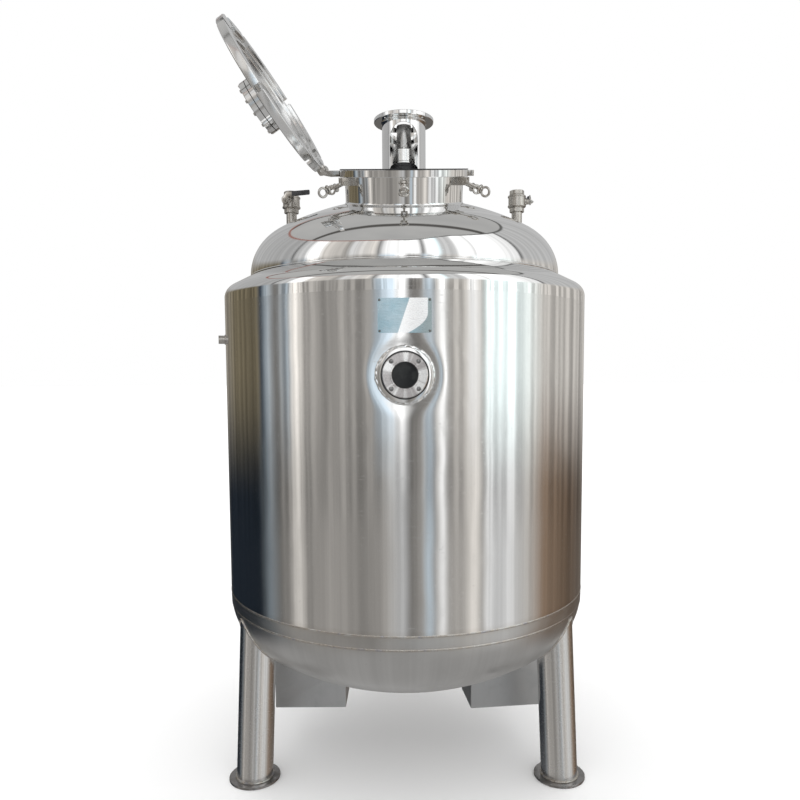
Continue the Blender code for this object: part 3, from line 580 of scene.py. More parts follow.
def between(tree, value, low, high, first=0.0, last=1.0):
    """Runs smoothly from first to last while the value goes from low to high."""
    made = add(tree, "ShaderNodeMapRange",
               {"Value": value, "From Min": low, "From Max": high, "To Min": first,
                "To Max": last}, interpolation_type="SMOOTHSTEP")
    return made.outputs["Result"]


def mixed(tree, factor, first, second, mode="MIX"):
    """A colour between two colours."""
    made = add(tree, "ShaderNodeMix", {0: factor, 6: first, 7: second}, data_type="RGBA",
               blend_type=mode)
    return made.outputs[2]


def ramp(tree, factor, stops):
    """A colour that runs through stops of (position, colour)."""
    made = add(tree, "ShaderNodeValToRGB", {"Fac": factor})
    elements = made.color_ramp.elements
    elements[0].position, elements[0].color = stops[0][0], (*stops[0][1], 1.0)
    elements[-1].position, elements[-1].color = stops[-1][0], (*stops[-1][1], 1.0)
    for position, colour in stops[1:-1]:
        elements.new(position).color = (*colour, 1.0)
    return made.outputs["Color"]


def noise(tree, place, scale, detail=2.0, rough=0.5):
    made = add(tree, "ShaderNodeTexNoise",
               {"Vector": place, "Scale": scale, "Detail": detail, "Roughness": rough})
    return made.outputs["Fac"]


def effect(name, inputs, outputs):
    """A new shader node group, as (tree, its inputs' sockets, its output node)."""
    tree = bpy.data.node_groups.new(name, "ShaderNodeTree")
    for label, kind, value in inputs:
        socket = tree.interface.new_socket(label, in_out="INPUT", socket_type=kind)
        if value is not None:
            socket.default_value = value
    for label, kind in outputs:
        tree.interface.new_socket(label, in_out="OUTPUT", socket_type=kind)
    return tree, tree.nodes.new("NodeGroupInput").outputs, tree.nodes.new("NodeGroupOutput")


def round_place(tree, place, around, up):
    """A place on a round piece: around scales the turn about Z, and up scales the height."""
    split = add(tree, "ShaderNodeSeparateXYZ", {0: place})
    flat = add(tree, "ShaderNodeCombineXYZ", {0: split.outputs[0], 1: split.outputs[1]})
    heading = vector(tree, "NORMALIZE", flat.outputs[0])
    sides = vector(tree, "MULTIPLY", heading, (around, around, 0.0))
    height = add(tree, "ShaderNodeCombineXYZ",
                 {2: maths(tree, "MULTIPLY", split.outputs[2], up)})
    return vector(tree, "ADD", sides, height.outputs[0])


def brush_and_reflection_marks():
    """Hairlines that run round a piece, and upright streaks down it, partly the brushing's own
    tone and partly painted reflection bands.
    """
    found = bpy.data.node_groups.get("brush_and_reflection_marks")
    if found:
        return found
    tree, given, result = effect(
        "brush_and_reflection_marks", [("Place", "NodeSocketVector", None)],
        [("Lines", "NodeSocketFloat"), ("Streaks", "NodeSocketFloat")])
    lines = noise(tree, round_place(tree, given["Place"], 7.0, 650.0), 1.0, 3.0, 0.6)
    broad = noise(tree, round_place(tree, given["Place"], 9.0, 0.35), 1.0, 2.0, 0.5)
    fine = noise(tree, round_place(tree, given["Place"], 46.0, 0.5), 1.0, 3.0, 0.65)
    both = maths(tree, "MULTIPLY_ADD", broad, 0.55, maths(tree, "MULTIPLY", fine, 0.45))
    tree.links.new(lines, result.inputs["Lines"])
    tree.links.new(between(tree, both, 0.34, 0.66), result.inputs["Streaks"])
    return tree


def polish_marks():
    """The slow waves of a hand-polished sheet, its hazy patches and its fine scratches."""
    found = bpy.data.node_groups.get("polish_marks")
    if found:
        return found
    tree, given, result = effect(
        "polish_marks", [("Place", "NodeSocketVector", None), ("Scale", "NodeSocketFloat", 1.0)],
        [("Waves", "NodeSocketFloat"), ("Haze", "NodeSocketFloat"),
         ("Scratches", "NodeSocketFloat")])
    place = vector(tree, "SCALE", given["Place"])
    tree.links.new(given["Scale"], place.node.inputs["Scale"])
    waves = noise(tree, place, 7.0, 1.0, 0.4)
    haze = between(tree, noise(tree, place, 5.0, 4.0, 0.6), 0.42, 0.72)
    turned_place = add(tree, "ShaderNodeMapping",
                       {"Vector": place, "Rotation": (0.4, 0.9, 0.7),
                        "Scale": (6.0, 260.0, 260.0)}).outputs[0]
    scratches = between(tree, noise(tree, turned_place, 1.0, 1.0), 0.68, 0.76)
    tree.links.new(waves, result.inputs["Waves"])
    tree.links.new(haze, result.inputs["Haze"])
    tree.links.new(scratches, result.inputs["Scratches"])
    return tree


def seam_mark():
    """How near a place is to a level seam, with an uneven edge, from 0 to 1."""
    found = bpy.data.node_groups.get("seam_mark")
    if found:
        return found
    tree, given, result = effect(
        "seam_mark", [("Place", "NodeSocketVector", None), ("Height", "NodeSocketFloat", 0.0),
                      ("Width", "NodeSocketFloat", 0.02)], [("Mask", "NodeSocketFloat")])
    height = add(tree, "ShaderNodeSeparateXYZ", {0: given["Place"]}).outputs[2]
    away = maths(tree, "ABSOLUTE", maths(tree, "SUBTRACT", height, given["Height"]))
    uneven = maths(tree, "MULTIPLY_ADD", noise(tree, given["Place"], 30.0, 3.0), 1.2, 0.4)
    share = maths(tree, "DIVIDE", away, maths(tree, "MULTIPLY", given["Width"], uneven))
    tree.links.new(between(tree, share, 0.0, 1.0, 1.0, 0.0), result.inputs["Mask"])
    return tree


def new_finish(name):
    """An empty material, as (material, tree, its Principled shader)."""
    material = bpy.data.materials.new(name)
    material.use_nodes = True
    tree = material.node_tree
    return material, tree, tree.nodes["Principled BSDF"]


def connect(tree, shader, tint, rough, bump=None, metallic=0.0):
    """Feeds a finish's colour, roughness and bump to its shader."""
    tree.links.new(tint, shader.inputs["Base Color"])
    tree.links.new(rough, shader.inputs["Roughness"])
    if bump:
        tree.links.new(bump.outputs["Normal"], shader.inputs["Normal"])
    shader.inputs["Metallic"].default_value = metallic


def place_on(tree, own=False):
    """Object coordinates, or else the coordinates that a piece had before it was placed."""
    if own:
        return add(tree, "ShaderNodeAttribute", attribute_name=OWN_PLACE).outputs["Vector"]
    return add(tree, "ShaderNodeTexCoord").outputs["Object"]


def steel(name, colour, roughness, lines=0.0, streaks=0.0, waves=0.0, haze=0.12, scale=1.0,
          seams=(), own=False):
    """A stainless finish: brushed round its axis, polished, or both, with tinted seams.

    lines and waves are heights in metres, and streaks and haze are shares.
    """
    found = bpy.data.materials.get(name)
    if found:
        return found
    material, tree, shader = new_finish(name)
    place = place_on(tree, own)
    polish = add(tree, "ShaderNodeGroup", node_tree=polish_marks())
    tree.links.new(place, polish.inputs["Place"])
    polish.inputs["Scale"].default_value = scale
    tint = mixed(tree, maths(tree, "MULTIPLY", polish.outputs["Haze"], haze), (*colour, 1.0),
                 (*[0.80 * part for part in colour], 1.0))
    rough = maths(tree, "MULTIPLY_ADD", polish.outputs["Haze"], haze * 0.6, roughness)
    rough = maths(tree, "MULTIPLY_ADD", polish.outputs["Scratches"], 0.10, rough)
    height = maths(tree, "MULTIPLY", polish.outputs["Waves"], waves)
    if lines or streaks:
        brush = add(tree, "ShaderNodeGroup", node_tree=brush_and_reflection_marks())
        tree.links.new(place, brush.inputs["Place"])
        # The darker upright streaks are partly the brushing's own tone and partly painted
        # reflection bands.
        dark = (*[part * (1.0 - 0.45 * streaks) for part in colour], 1.0)
        shade = maths(tree, "MULTIPLY", brush.outputs["Streaks"], 0.9 * bool(streaks))
        tint = mixed(tree, shade, tint, dark)
        rough = maths(tree, "MULTIPLY_ADD", brush.outputs["Lines"], 0.05, rough)
        height = maths(tree, "MULTIPLY_ADD", brush.outputs["Lines"], lines, height)
    heat = (*finishes().heat_tint, 1.0)
    for seam_height, width, strength in seams:
        seam = add(tree, "ShaderNodeGroup", node_tree=seam_mark())
        tree.links.new(place, seam.inputs["Place"])
        seam.inputs["Height"].default_value = seam_height
        seam.inputs["Width"].default_value = width
        tint = mixed(tree, maths(tree, "MULTIPLY", seam.outputs["Mask"], strength), tint, heat)
    bump = add(tree, "ShaderNodeBump", {"Strength": 1.0, "Distance": 1.0, "Height": height})
    connect(tree, shader, tint, rough, bump, 1.0)
    return material


def polished():
    return steel("polished_finish", finishes().steel, finishes().mirror_roughness,
                 waves=0.0011, haze=0.10)


def polished_fitting():
    return steel("fitting_finish", finishes().steel, finishes().mirror_roughness + 0.03,
                 waves=0.00006, haze=0.15, scale=4.0)


def satin():
    return steel("satin_finish", finishes().steel, 0.17, waves=0.0003, haze=0.10)


def coupling_steel():
    return steel("coupling_finish", (0.58, 0.575, 0.565), 0.27, haze=0.3, scale=4.0)


def turned_steel():
    return steel("turned_steel_finish", (0.86, 0.86, 0.85), 0.27, haze=0.10, scale=4.0)


def brushed():
    return steel("brushed_finish", finishes().steel, finishes().brushed_roughness,
                 lines=0.000003, streaks=0.35, waves=0.0007, haze=0.07,
                 seams=((JACKET_SEAM + 0.004, 0.016, 0.15),))


def dull():
    return steel("dull_finish", finishes().dull_steel, 0.26, lines=0.000004, streaks=0.25,
                 waves=0.0012, haze=0.35,
                 seams=((JACKET_SEAM, 0.014, 0.25), (JACKET_SEAM - END_SEAM_DROP, 0.010, 0.25)))


def inner_wall():
    return steel("inner_finish", finishes().dull_steel, 0.30, lines=0.000003, streaks=0.15,
                 waves=0.0004, haze=0.25)


def pipe():
    return steel("pipe_finish", (0.76, 0.755, 0.745), 0.20, lines=0.000002, streaks=0.35,
                 waves=0.0003, haze=0.12, own=True)


def cast():
    return steel("cast_finish", (0.50, 0.475, 0.44), 0.25, waves=0.00004, haze=0.2, scale=9.0)


def fastener():
    return steel("fastener_finish", (0.54, 0.52, 0.49), 0.14, haze=0.12, scale=6.0)


def dark_fastener():
    return steel("dark_fastener_finish", (0.26, 0.255, 0.25), 0.18, haze=0.3, scale=8.0)


def turned_face():
    """A face turned on a lathe: the fans of light that its fine rings catch are painted into its
    colour as lighter and darker sectors.
    """
    found = bpy.data.materials.get("turned_finish")
    if found:
        return found
    material, tree, shader = new_finish("turned_finish")
    place = place_on(tree, own=True)
    # Painted highlight and shade: lighter and darker sectors round the axis, in the colour.
    painted_fans = noise(tree, round_place(tree, place, 1.6, 0.0), 1.0, 2.0, 0.6)
    tint = mixed(tree, between(tree, painted_fans, 0.42, 0.60), (0.46, 0.44, 0.435, 1.0),
                 (0.86, 0.86, 0.85, 1.0))
    rings = noise(tree, place, 900.0, 1.0)
    connect(tree, shader, tint, between(tree, rings, 0.3, 0.7, 0.16, 0.26), metallic=1.0)
    return material


def sheet_metal():
    return steel("sheet_finish", (0.50, 0.505, 0.51), 0.42, lines=0.000003, streaks=0.12,
                 haze=0.4, scale=2.0)


def foot_metal():
    return steel("foot_finish", (0.30, 0.29, 0.285), 0.16, haze=0.7, scale=4.0)


def plate_steel(middle, width, height):
    """The name plate: cool satin metal with a bright slanting reflection painted into its colour
    as a white band, and bare.
    """
    found = bpy.data.materials.get("plate_finish")
    if found:
        return found
    material, tree, shader = new_finish("plate_finish")
    place = place_on(tree)
    split = add(tree, "ShaderNodeSeparateXYZ", {0: place})
    along = maths(tree, "MULTIPLY_ADD", split.outputs[0], 1.0 / width, 0.5)
    up = maths(tree, "MULTIPLY_ADD", split.outputs[2], 1.0 / height, 0.5 - middle / height)
    # The white slanting band is a painted reflection, fixed on the plate: its left side slants
    # and its lower right side bows.
    left = maths(tree, "SUBTRACT", along, maths(tree, "MULTIPLY_ADD", up, 0.22, 0.37))
    bow = maths(tree, "MAXIMUM", maths(tree, "SUBTRACT", 0.58, up), 0.0)
    bow = maths(tree, "MULTIPLY", maths(tree, "MULTIPLY", bow, bow), 1.1)
    right = maths(tree, "SUBTRACT", maths(tree, "SUBTRACT", 0.93, bow), along)
    painted_gleam = maths(tree, "MULTIPLY", between(tree, left, -0.008, 0.012),
                  between(tree, right, -0.008, 0.012))
    cloud = between(tree, noise(tree, place, 26.0, 3.0), 0.35, 0.7)
    cool = mixed(tree, cloud, (0.36, 0.50, 0.56, 1.0), (0.46, 0.57, 0.62, 1.0))
    cool = mixed(tree, between(tree, along, 0.62, 0.95), cool, (0.36, 0.43, 0.44, 1.0))
    tint = mixed(tree, painted_gleam, cool, (1.0, 1.0, 1.0, 1.0))
    grain = noise(tree, add(tree, "ShaderNodeMapping",
                            {"Vector": place, "Scale": (30.0, 30.0, 1400.0)}).outputs[0],
                  1.0, 2.0)
    bump = add(tree, "ShaderNodeBump", {"Strength": 0.4, "Distance": 0.00002,
                                        "Height": grain})
    connect(tree, shader, tint, between(tree, grain, 0.3, 0.7, 0.24, 0.34), bump, 0.75)
    return material


def weld_metal():
    """A weld bead: scaly ripples, and straw and blue heat colours."""
    found = bpy.data.materials.get("weld_finish")
    if found:
        return found
    material, tree, shader = new_finish("weld_finish")
    place = place_on(tree)
    tint = ramp(tree, noise(tree, place, 40.0, 2.0),
                ((0.35, (0.56, 0.55, 0.53)), (0.55, (0.50, 0.46, 0.41)),
                 (0.68, (0.42, 0.41, 0.43))))
    ripples = noise(tree, place, 420.0, 1.0)
    bump = add(tree, "ShaderNodeBump", {"Strength": 0.6, "Distance": 0.0012,
                                        "Height": ripples})
    connect(tree, shader, tint, between(tree, ripples, 0.3, 0.7, 0.22, 0.42), bump, 1.0)
    return material


def soft_finish(name, colour, roughness, grain, depth, coat=0.0):
    """Rubber or plastic: a mottled colour and a fine moulded grain."""
    found = bpy.data.materials.get(name)
    if found:
        return found
    material, tree, shader = new_finish(name)
    place = place_on(tree)
    mottle = between(tree, noise(tree, place, grain * 0.2, 3.0), 0.35, 0.7)
    tint = mixed(tree, mottle, (*colour, 1.0), (*[2.2 * part for part in colour], 1.0))
    moulded = noise(tree, place, grain, 2.0)
    bump = add(tree, "ShaderNodeBump", {"Strength": 0.5, "Distance": depth, "Height": moulded})
    connect(tree, shader, tint, between(tree, mottle, 0.0, 1.0, roughness, roughness + 0.15),
            bump)
    shader.inputs["Coat Weight"].default_value = coat
    return material


def rubber():
    return soft_finish("rubber_finish", (0.014, 0.014, 0.015), 0.5, 900.0, 0.0002)


def lever_sleeve():
    return soft_finish("sleeve_finish", (0.016, 0.017, 0.020), 0.28, 600.0, 0.0003, coat=0.3)


def sight_glass():
    """Thick toughened glass, drawn as an opaque pane whose near black colour is painted shade for
    the tank's dark inside, with little shine seen head on.
    """
    found = bpy.data.materials.get("glass_finish")
    if found:
        return found
    material, tree, shader = new_finish("glass_finish")
    smear = between(tree, noise(tree, place_on(tree), 35.0, 3.0), 0.4, 0.7)
    # Near black is painted shade for the dark inside behind the glass; the lighter patches are
    # smears.
    tint = mixed(tree, smear, (0.006, 0.007, 0.008, 1.0), (0.020, 0.022, 0.022, 1.0))
    connect(tree, shader, tint, between(tree, smear, 0.0, 1.0, 0.03, 0.12))
    shader.inputs["Specular IOR Level"].default_value = 0.2
    return material


def dished_end(radius, tangent, knuckle, direction, lip=END_LIP):
    """The outline of a dished end from its rim to its pole, as (radius, height) points.

    direction is 1 for an end that domes upwards and -1 for one that hangs down.
    """
    rise = math.sqrt((CROWN_RADIUS - knuckle) ** 2 - (radius - knuckle) ** 2)
    meet = math.degrees(math.atan2(rise, radius - knuckle))
    points = [(radius, -lip)]
    points += arc((radius - knuckle, 0.0), knuckle, 0.0, meet, KNUCKLE_STEPS)
    points += arc((0.0, -rise), CROWN_RADIUS, meet, 90.0, CROWN_STEPS)[1:]
    return [(max(0.0, x), tangent + direction * z) for x, z in points[:-1]] + [
        (0.0, tangent + direction * points[-1][1])]


DOME = (VESSEL_RADIUS, DOME_TANGENT, DOME_KNUCKLE, 1)
JACKET_END = (JACKET_RADIUS, JACKET_TANGENT, JACKET_KNUCKLE, -1)
VESSEL_END = (VESSEL_RADIUS, VESSEL_TANGENT, VESSEL_KNUCKLE, -1)


def stands_out(point, end):
    """How far a point stands outside a dished end. It is less than zero within it."""
    radius, tangent, knuckle, direction = end
    across = math.hypot(point[0], point[1])
    up = (point[2] - tangent) * direction
    rise = math.sqrt((CROWN_RADIUS - knuckle) ** 2 - (radius - knuckle) ** 2)
    if up <= 0.0:
        return across - radius
    if across * rise < (radius - knuckle) * (up + rise):
        return math.hypot(across, up + rise) - CROWN_RADIUS
    return math.hypot(across - (radius - knuckle), up) - knuckle


def meeting_height(place, x, y, end, low, high):
    """Where a line along a frame's own Z, at x and y, goes through a dished end."""
    outside = stands_out(place @ Vector((x, y, low)), end) > 0.0
    for _ in range(40):
        middle = (low + high) / 2
        if (stands_out(place @ Vector((x, y, middle)), end) > 0.0) == outside:
            low = middle
        else:
            high = middle
    return (low + high) / 2


def meeting(place, radius, end, low, high, steps):
    """The line on which a round pipe meets a dished end, in the pipe's own frame."""
    line = []
    for i in range(steps):
        way = math.tau * i / steps
        x, y = radius * math.cos(way), radius * math.sin(way)
        line.append(Vector((x, y, meeting_height(place, x, y, end, low, high))))
    return line


def raised(points, height):
    return [point + Vector((0, 0, height)) for point in points]


def levelled(points, height):
    return [Vector((point.x, point.y, height)) for point in points]


def drawn_in(loops, share):
    """Loops drawn in towards Z, for a pipe's bore."""
    return [[Vector((point.x * share, point.y * share, point.z)) for point in loop]
            for loop in loops]


def loft(name, loops):
    """A skin through closed loops, each with as many points, made by extruding the first."""
    start()
    bpy.ops.mesh.primitive_circle_add(vertices=len(loops[0]), radius=1.0)
    skin = bpy.context.object.data
    count = len(loops[0])
    for corner, point in zip(skin.vertices, loops[0]):
        corner.co = point
    bpy.ops.object.mode_set(mode="EDIT")
    for near, far in zip(loops, loops[1:]):
        bpy.ops.mesh.extrude_region_move(TRANSFORM_OT_translate={"value": (0, 0, 0)})
        bpy.ops.object.mode_set(mode="OBJECT")
        fresh = KDTree(count)
        for corner in skin.vertices:
            if corner.select:
                fresh.insert(corner.co, corner.index)
        fresh.balance()
        for before, after in zip(near, far):
            skin.vertices[fresh.find(before)[1]].co = after
        bpy.ops.object.mode_set(mode="EDIT")
    tidy()
    return named(name)


def pipe_fillet(name, place, radius, end, low, high, rise, reach, steps):
    """A smooth hollow fillet where a pipe stands on a dished end, in the pipe's own frame."""
    foot = meeting(place, radius, end, low, high, steps)
    far = meeting(place, radius + reach, end, low, high, steps)
    up = Vector((0, 0, rise))
    loops = []
    for i in range(9):
        share = i / 8
        loops.append([(1 - share) ** 2 * (corner + up) + 2 * share * (1 - share) * corner
                      + share ** 2 * edge for corner, edge in zip(foot, far)])
    return loft(name, loops)


def dome_pipe(name, place, radius, bore, span, top, sink, rise, reach, steps):
    """A pipe that stands on the dome, sunk a little into it, with its weld fillet."""
    foot = meeting(place, radius, DOME, *span, steps)
    under, head = raised(foot, -sink), levelled(foot, top)
    inner = drawn_in((under, head), bore / radius)
    pipe_skin = loft("pipe", [under, head, inner[1], inner[0], under])
    fillet = pipe_fillet("fillet", place, radius, DOME, *span, rise, reach, steps)
    return joined(name, pipe_skin, fillet)


def bead(name, radius, height):
    """A dressed weld bead round the outside of an upright shell."""
    half, sunk, proud = sizes().weld_width / 2, 0.0012, 0.0008
    outline = arc((radius - sunk, height), half, -90.0, 90.0, 8)
    outline = [(radius - sunk + (x - radius + sunk) * (proud + sunk) / half, z)
               for x, z in outline]
    return turned(name, outline, sizes().round_steps)


def lumpy_bead(name, path, radius, lumps=0.0009):
    """A hand-laid weld bead along a closed path, with its ripples."""
    piece = bar(name, path, radius, closed=True)
    texture = bpy.data.textures.new(name, "CLOUDS")
    texture.noise_scale = radius * 1.6
    shape = piece.modifiers.new("Ripples", "DISPLACE")
    shape.texture = texture
    shape.strength = lumps * 2
    shape.mid_level = 0.5
    apply_modifiers(piece)
    bpy.data.textures.remove(texture)
    return piece


def threaded(radius, low, high, pitch=0.0015, depth=0.0006):
    """The outline of a threaded stretch, from its low end to its high end."""
    points = []
    for i in range(round((high - low) / pitch)):
        points += [(radius - depth, low + i * pitch), (radius, low + (i + 0.5) * pitch)]
    return points + [(radius - depth, high)]


def hex_screw(name, across, height, washer):
    """A hexagon head with its washer, standing on Z = 0."""
    under = 0.0012
    head = rod(name, across / math.sqrt(3), under, under + height, steps=6)
    round_off = turned("round_off", [(0.0, under - 0.001), (across * 0.62, under - 0.001),
                                     (across * 0.62, under + height * 0.72),
                                     (across * 0.47, under + height), (0.0, under + height)],
                       24, closed=False)
    step = head.modifiers.new("Corners", "BOOLEAN")
    step.operation = "INTERSECT"
    step.solver = "EXACT"
    step.object = round_off
    apply_modifiers(head)
    bpy.data.objects.remove(round_off)
    soften(head, 0.0003, 1, math.radians(25.0))
    pad = turned("washer", [(0.0, under), (washer, under), (washer, 0.0), (0.0, 0.0)],
                 24, closed=False)
    return joined(name, head, pad)


def cap_screw(name, radius, height):
    """A socket-head screw, standing on Z = 0."""
    edge = radius * 0.14
    head = turned(name, [(0.0, 0.0), (radius, 0.0), (radius, height - edge),
                         (radius - edge, height), (0.0, height)], 24, closed=False)
    socket = rod("socket", radius * 0.58, height * 0.4, height + 0.001, steps=6)
    return cut(head, socket)


def spread(name, model, places):
    """Copies of one model at several places, joined into one piece. The model is removed."""
    copies = [copied(model, name, place) for place in places]
    bpy.data.objects.remove(model)
    return joined(name, *copies)


def spin_places(count, radius, height=0.0, first=0.0):
    """Places evenly spaced on a circle round Z."""
    return [turn(first + 360.0 * i / count) @ move(radius, 0.0, height) for i in range(count)]


def wall_row(tree, share, stops):
    """One row of the studio's walls, from stops of (azimuth, tint, brightness)."""
    return ramp(tree, share, [((degrees + 180.0) / 360.0,
                               tuple(min(WALL_LIMIT, WALL_GAIN * bright * part)
                                     for part in tint))
                              for degrees, tint, bright in stops])


def studio_walls(tree, share, z):
    """The three rows of walls, with fine upright strips where the jacket mirrors them."""
    high, level, low = (wall_row(tree, share, stops)
                        for stops in (HIGH_SURROUND, UPPER_SURROUND, LOWER_SURROUND))
    sides = mixed(tree, between(tree, z, -0.17, 0.02), low, level)
    sides = mixed(tree, between(tree, z, 0.14, 0.26), sides, high)
    strips = add(tree, "ShaderNodeTexNoise", {"W": share, "Scale": 62.0, "Detail": 2.0,
                                              "Roughness": 0.7}, noise_dimensions="1D")
    strips = between(tree, strips.outputs["Fac"], 0.42, 0.60, 0.66, 1.22)
    shade = add(tree, "ShaderNodeCombineXYZ", {0: strips, 1: strips, 2: strips})
    near = maths(tree, "MULTIPLY", between(tree, z, -0.24, -0.15, 0.3, 1.0),
                 between(tree, z, 0.12, 0.20, 1.0, 0.3))
    return mixed(tree, near, sides, shade.outputs[0], "MULTIPLY")


def studio_ceiling(tree, x, y, z):
    """A cloudy ceiling with a few dark beams across it."""
    over = maths(tree, "MAXIMUM", z, 0.05)
    across = add(tree, "ShaderNodeCombineXYZ", {0: maths(tree, "DIVIDE", x, over),
                                                1: maths(tree, "DIVIDE", y, over)})
    beams = add(tree, "ShaderNodeTexWave",
                {"Vector": across.outputs[0], "Scale": 0.28, "Distortion": 2.2,
                 "Detail": 1.0, "Detail Scale": 1.4, "Phase Offset": 1.1},
                bands_direction="Y")
    cloud = noise(tree, across.outputs[0], 1.3, 2.0)
    ceiling = mixed(tree, cloud, (0.40, 0.40, 0.40, 1.0), (0.60, 0.595, 0.58, 1.0))
    return mixed(tree, between(tree, beams.outputs["Fac"], 0.0, 0.035, 1.0, 0.0), ceiling,
                 (0.10, 0.095, 0.09, 1.0))


def studio_world():
    """Soft boxes and dark flags for the metal to mirror, under an even white light."""
    world = bpy.data.worlds.new("studio")
    world.use_nodes = True
    world.cycles.sampling_method = "NONE"
    tree = world.node_tree
    split = add(tree, "ShaderNodeSeparateXYZ", {0: add(tree, "ShaderNodeTexCoord")
                                                .outputs["Generated"]})
    x, y, z = split.outputs[0], split.outputs[1], split.outputs[2]
    azimuth = maths(tree, "ARCTAN2", x, maths(tree, "MULTIPLY", y, -1.0))
    share = maths(tree, "MULTIPLY_ADD", azimuth, 1.0 / math.tau, 0.5)
    sides = studio_walls(tree, share, z)
    ceiling = studio_ceiling(tree, x, y, z)
    eaves = between(tree, share, 0.50, 0.62, 0.64, 0.76)
    below = maths(tree, "SUBTRACT", z, eaves)
    gutter = mixed(tree, between(tree, share, 0.47, 0.50), (0.36, 0.17, 0.14, 1.0),
                   (0.14, 0.14, 0.135, 1.0))
    sides = mixed(tree, between(tree, below, -0.030, -0.014), sides, gutter)
    room = mixed(tree, between(tree, below, -0.010, 0.0), sides, ceiling)
    room = mixed(tree, between(tree, z, -0.72, -0.45, 1.0, 0.0), room,
                 (0.46, 0.455, 0.45, 1.0))
    path = add(tree, "ShaderNodeLightPath")
    lit = mixed(tree, path.outputs["Is Diffuse Ray"], room, (1.25, 1.25, 1.25, 1.0))
    seen = mixed(tree, path.outputs["Is Camera Ray"], lit, (1.0, 1.0, 1.0, 1.0))
    shader = tree.nodes["Background"]
    tree.links.new(seen, shader.inputs["Color"])
    shader.inputs["Strength"].default_value = bpy.context.scene.tank_studio.light_strength
    bpy.context.scene.world = world


class TANK_OT_stage(Operator):
    """Sets up the camera, the plain pale floor and the soft studio light."""

    bl_idname = "tank.stage"
    bl_label = "Stage"

    def execute(self, context):
        studio = context.scene.tank_studio
        studio_world()
        start()
        bpy.ops.mesh.primitive_circle_add(vertices=64, radius=90.0, fill_type="NGON")
        floor = named("floor")
        material, tree, shader = new_finish("pale_floor")
        grain = noise(tree, place_on(tree), 60.0, 2.0)
        shade = mixed(tree, grain, (*[0.99 * part for part in studio.floor_colour], 1.0),
                      (*studio.floor_colour, 1.0))
        tree.links.new(shade, shader.inputs["Base Color"])
        shader.inputs["Roughness"].default_value = 0.9
        shader.inputs["Specular IOR Level"].default_value = 0.1
        floor.data.materials.append(material)
        floor.visible_glossy = False

        start()
        bpy.ops.object.camera_add()
        camera = context.object
        camera.name = "photo_camera"
        camera.matrix_world = (move(y=-studio.eye_distance, z=studio.eye_height)
                               @ turn(CAMERA_PITCH, "X") @ turn(CAMERA_ROLL, "Z"))
        camera.data.lens = studio.focal_length
        camera.data.sensor_width = 36.0
        camera.data.shift_x, camera.data.shift_y = CAMERA_SHIFT
        context.scene.camera = camera
        context.scene.view_settings.view_transform = "Standard"
        return {"FINISHED"}


class TANK_OT_jacket_wall(Operator):
    """Builds the brushed outer wall, pulled in a little round the sight port's weld."""

    bl_idname = "tank.jacket_wall"
    bl_label = "Jacket Wall"

    def execute(self, context):
        near = 0.17
        steps = [JACKET_SEAM] + [JACKET_SEAM + (JACKET_TOP - JACKET_SEAM) * i / 24
                                 for i in range(1, 24)] + [JACKET_TOP]
        skin = turned("jacket_wall_skin", [(JACKET_RADIUS, height) for height in steps],
                      sizes().round_steps, closed=False)
        pick_faces(skin, lambda face: face.center.y < 0.0 and math.hypot(
            face.center.x, face.center.z - PORT_HEIGHT) < near)
        bpy.ops.mesh.subdivide(number_cuts=3)
        bpy.ops.object.mode_set(mode="OBJECT")
        depth = sizes().port_dimple
        for corner in skin.data.vertices:
            x, y, z = corner.co
            away = math.hypot(x, z - PORT_HEIGHT)
            radius = JACKET_RADIUS
            if y < 0.0 and away < near:
                pull = math.exp(-(max(0.0, away - PORT_PAD) / 0.020) ** 2)
                edge = min(1.0, (near - away) / 0.03)
                radius -= depth * pull * edge
            flat = math.hypot(x, y)
            corner.co = (x * radius / flat, y * radius / flat, z)
        wall(skin, JACKET_SHEET)
        hole = placed(rod("port_hole", PORT_HOLE, 0.50, 0.70, 64), PORT)
        cut(skin, hole)
        hand_over(skin, brushed(), stands_for="jacket_wall")
        return {"FINISHED"}


class TANK_OT_shoulder(Operator):
    """Builds the sloping top of the jacket, and the weld that joins it to the vessel."""

    bl_idname = "tank.shoulder"
    bl_label = "Jacket Shoulder"

    def execute(self, context):
        inner = VESSEL_RADIUS - 0.001
        edge = SHOULDER_TOP
        corner = edge - (JACKET_RADIUS - inner) * math.tan(SHOULDER_SLOPE)
        reach = SHOULDER_FILLET * math.tan((math.pi / 2 - SHOULDER_SLOPE) / 2)
        centre = (JACKET_RADIUS - SHOULDER_FILLET, corner - reach)
        outline = [(inner, edge)]
        outline += arc(centre, SHOULDER_FILLET, 90.0 - math.degrees(SHOULDER_SLOPE), 0.0, 20)
        outline += [(JACKET_RADIUS, JACKET_TOP)]
        skin = turned("jacket_shoulder_skin", outline, sizes().round_steps, closed=False)
        wall(skin, JACKET_SHEET)
        hand_over(skin, polished(), stands_for="jacket_shoulder")
        weld = turned("shoulder_weld", arc((VESSEL_RADIUS + 0.0005, edge - 0.0005), 0.0034,
                                           0.0, 330.0, 10), sizes().round_steps)
        hand_over(weld, polished_fitting())
        return {"FINISHED"}


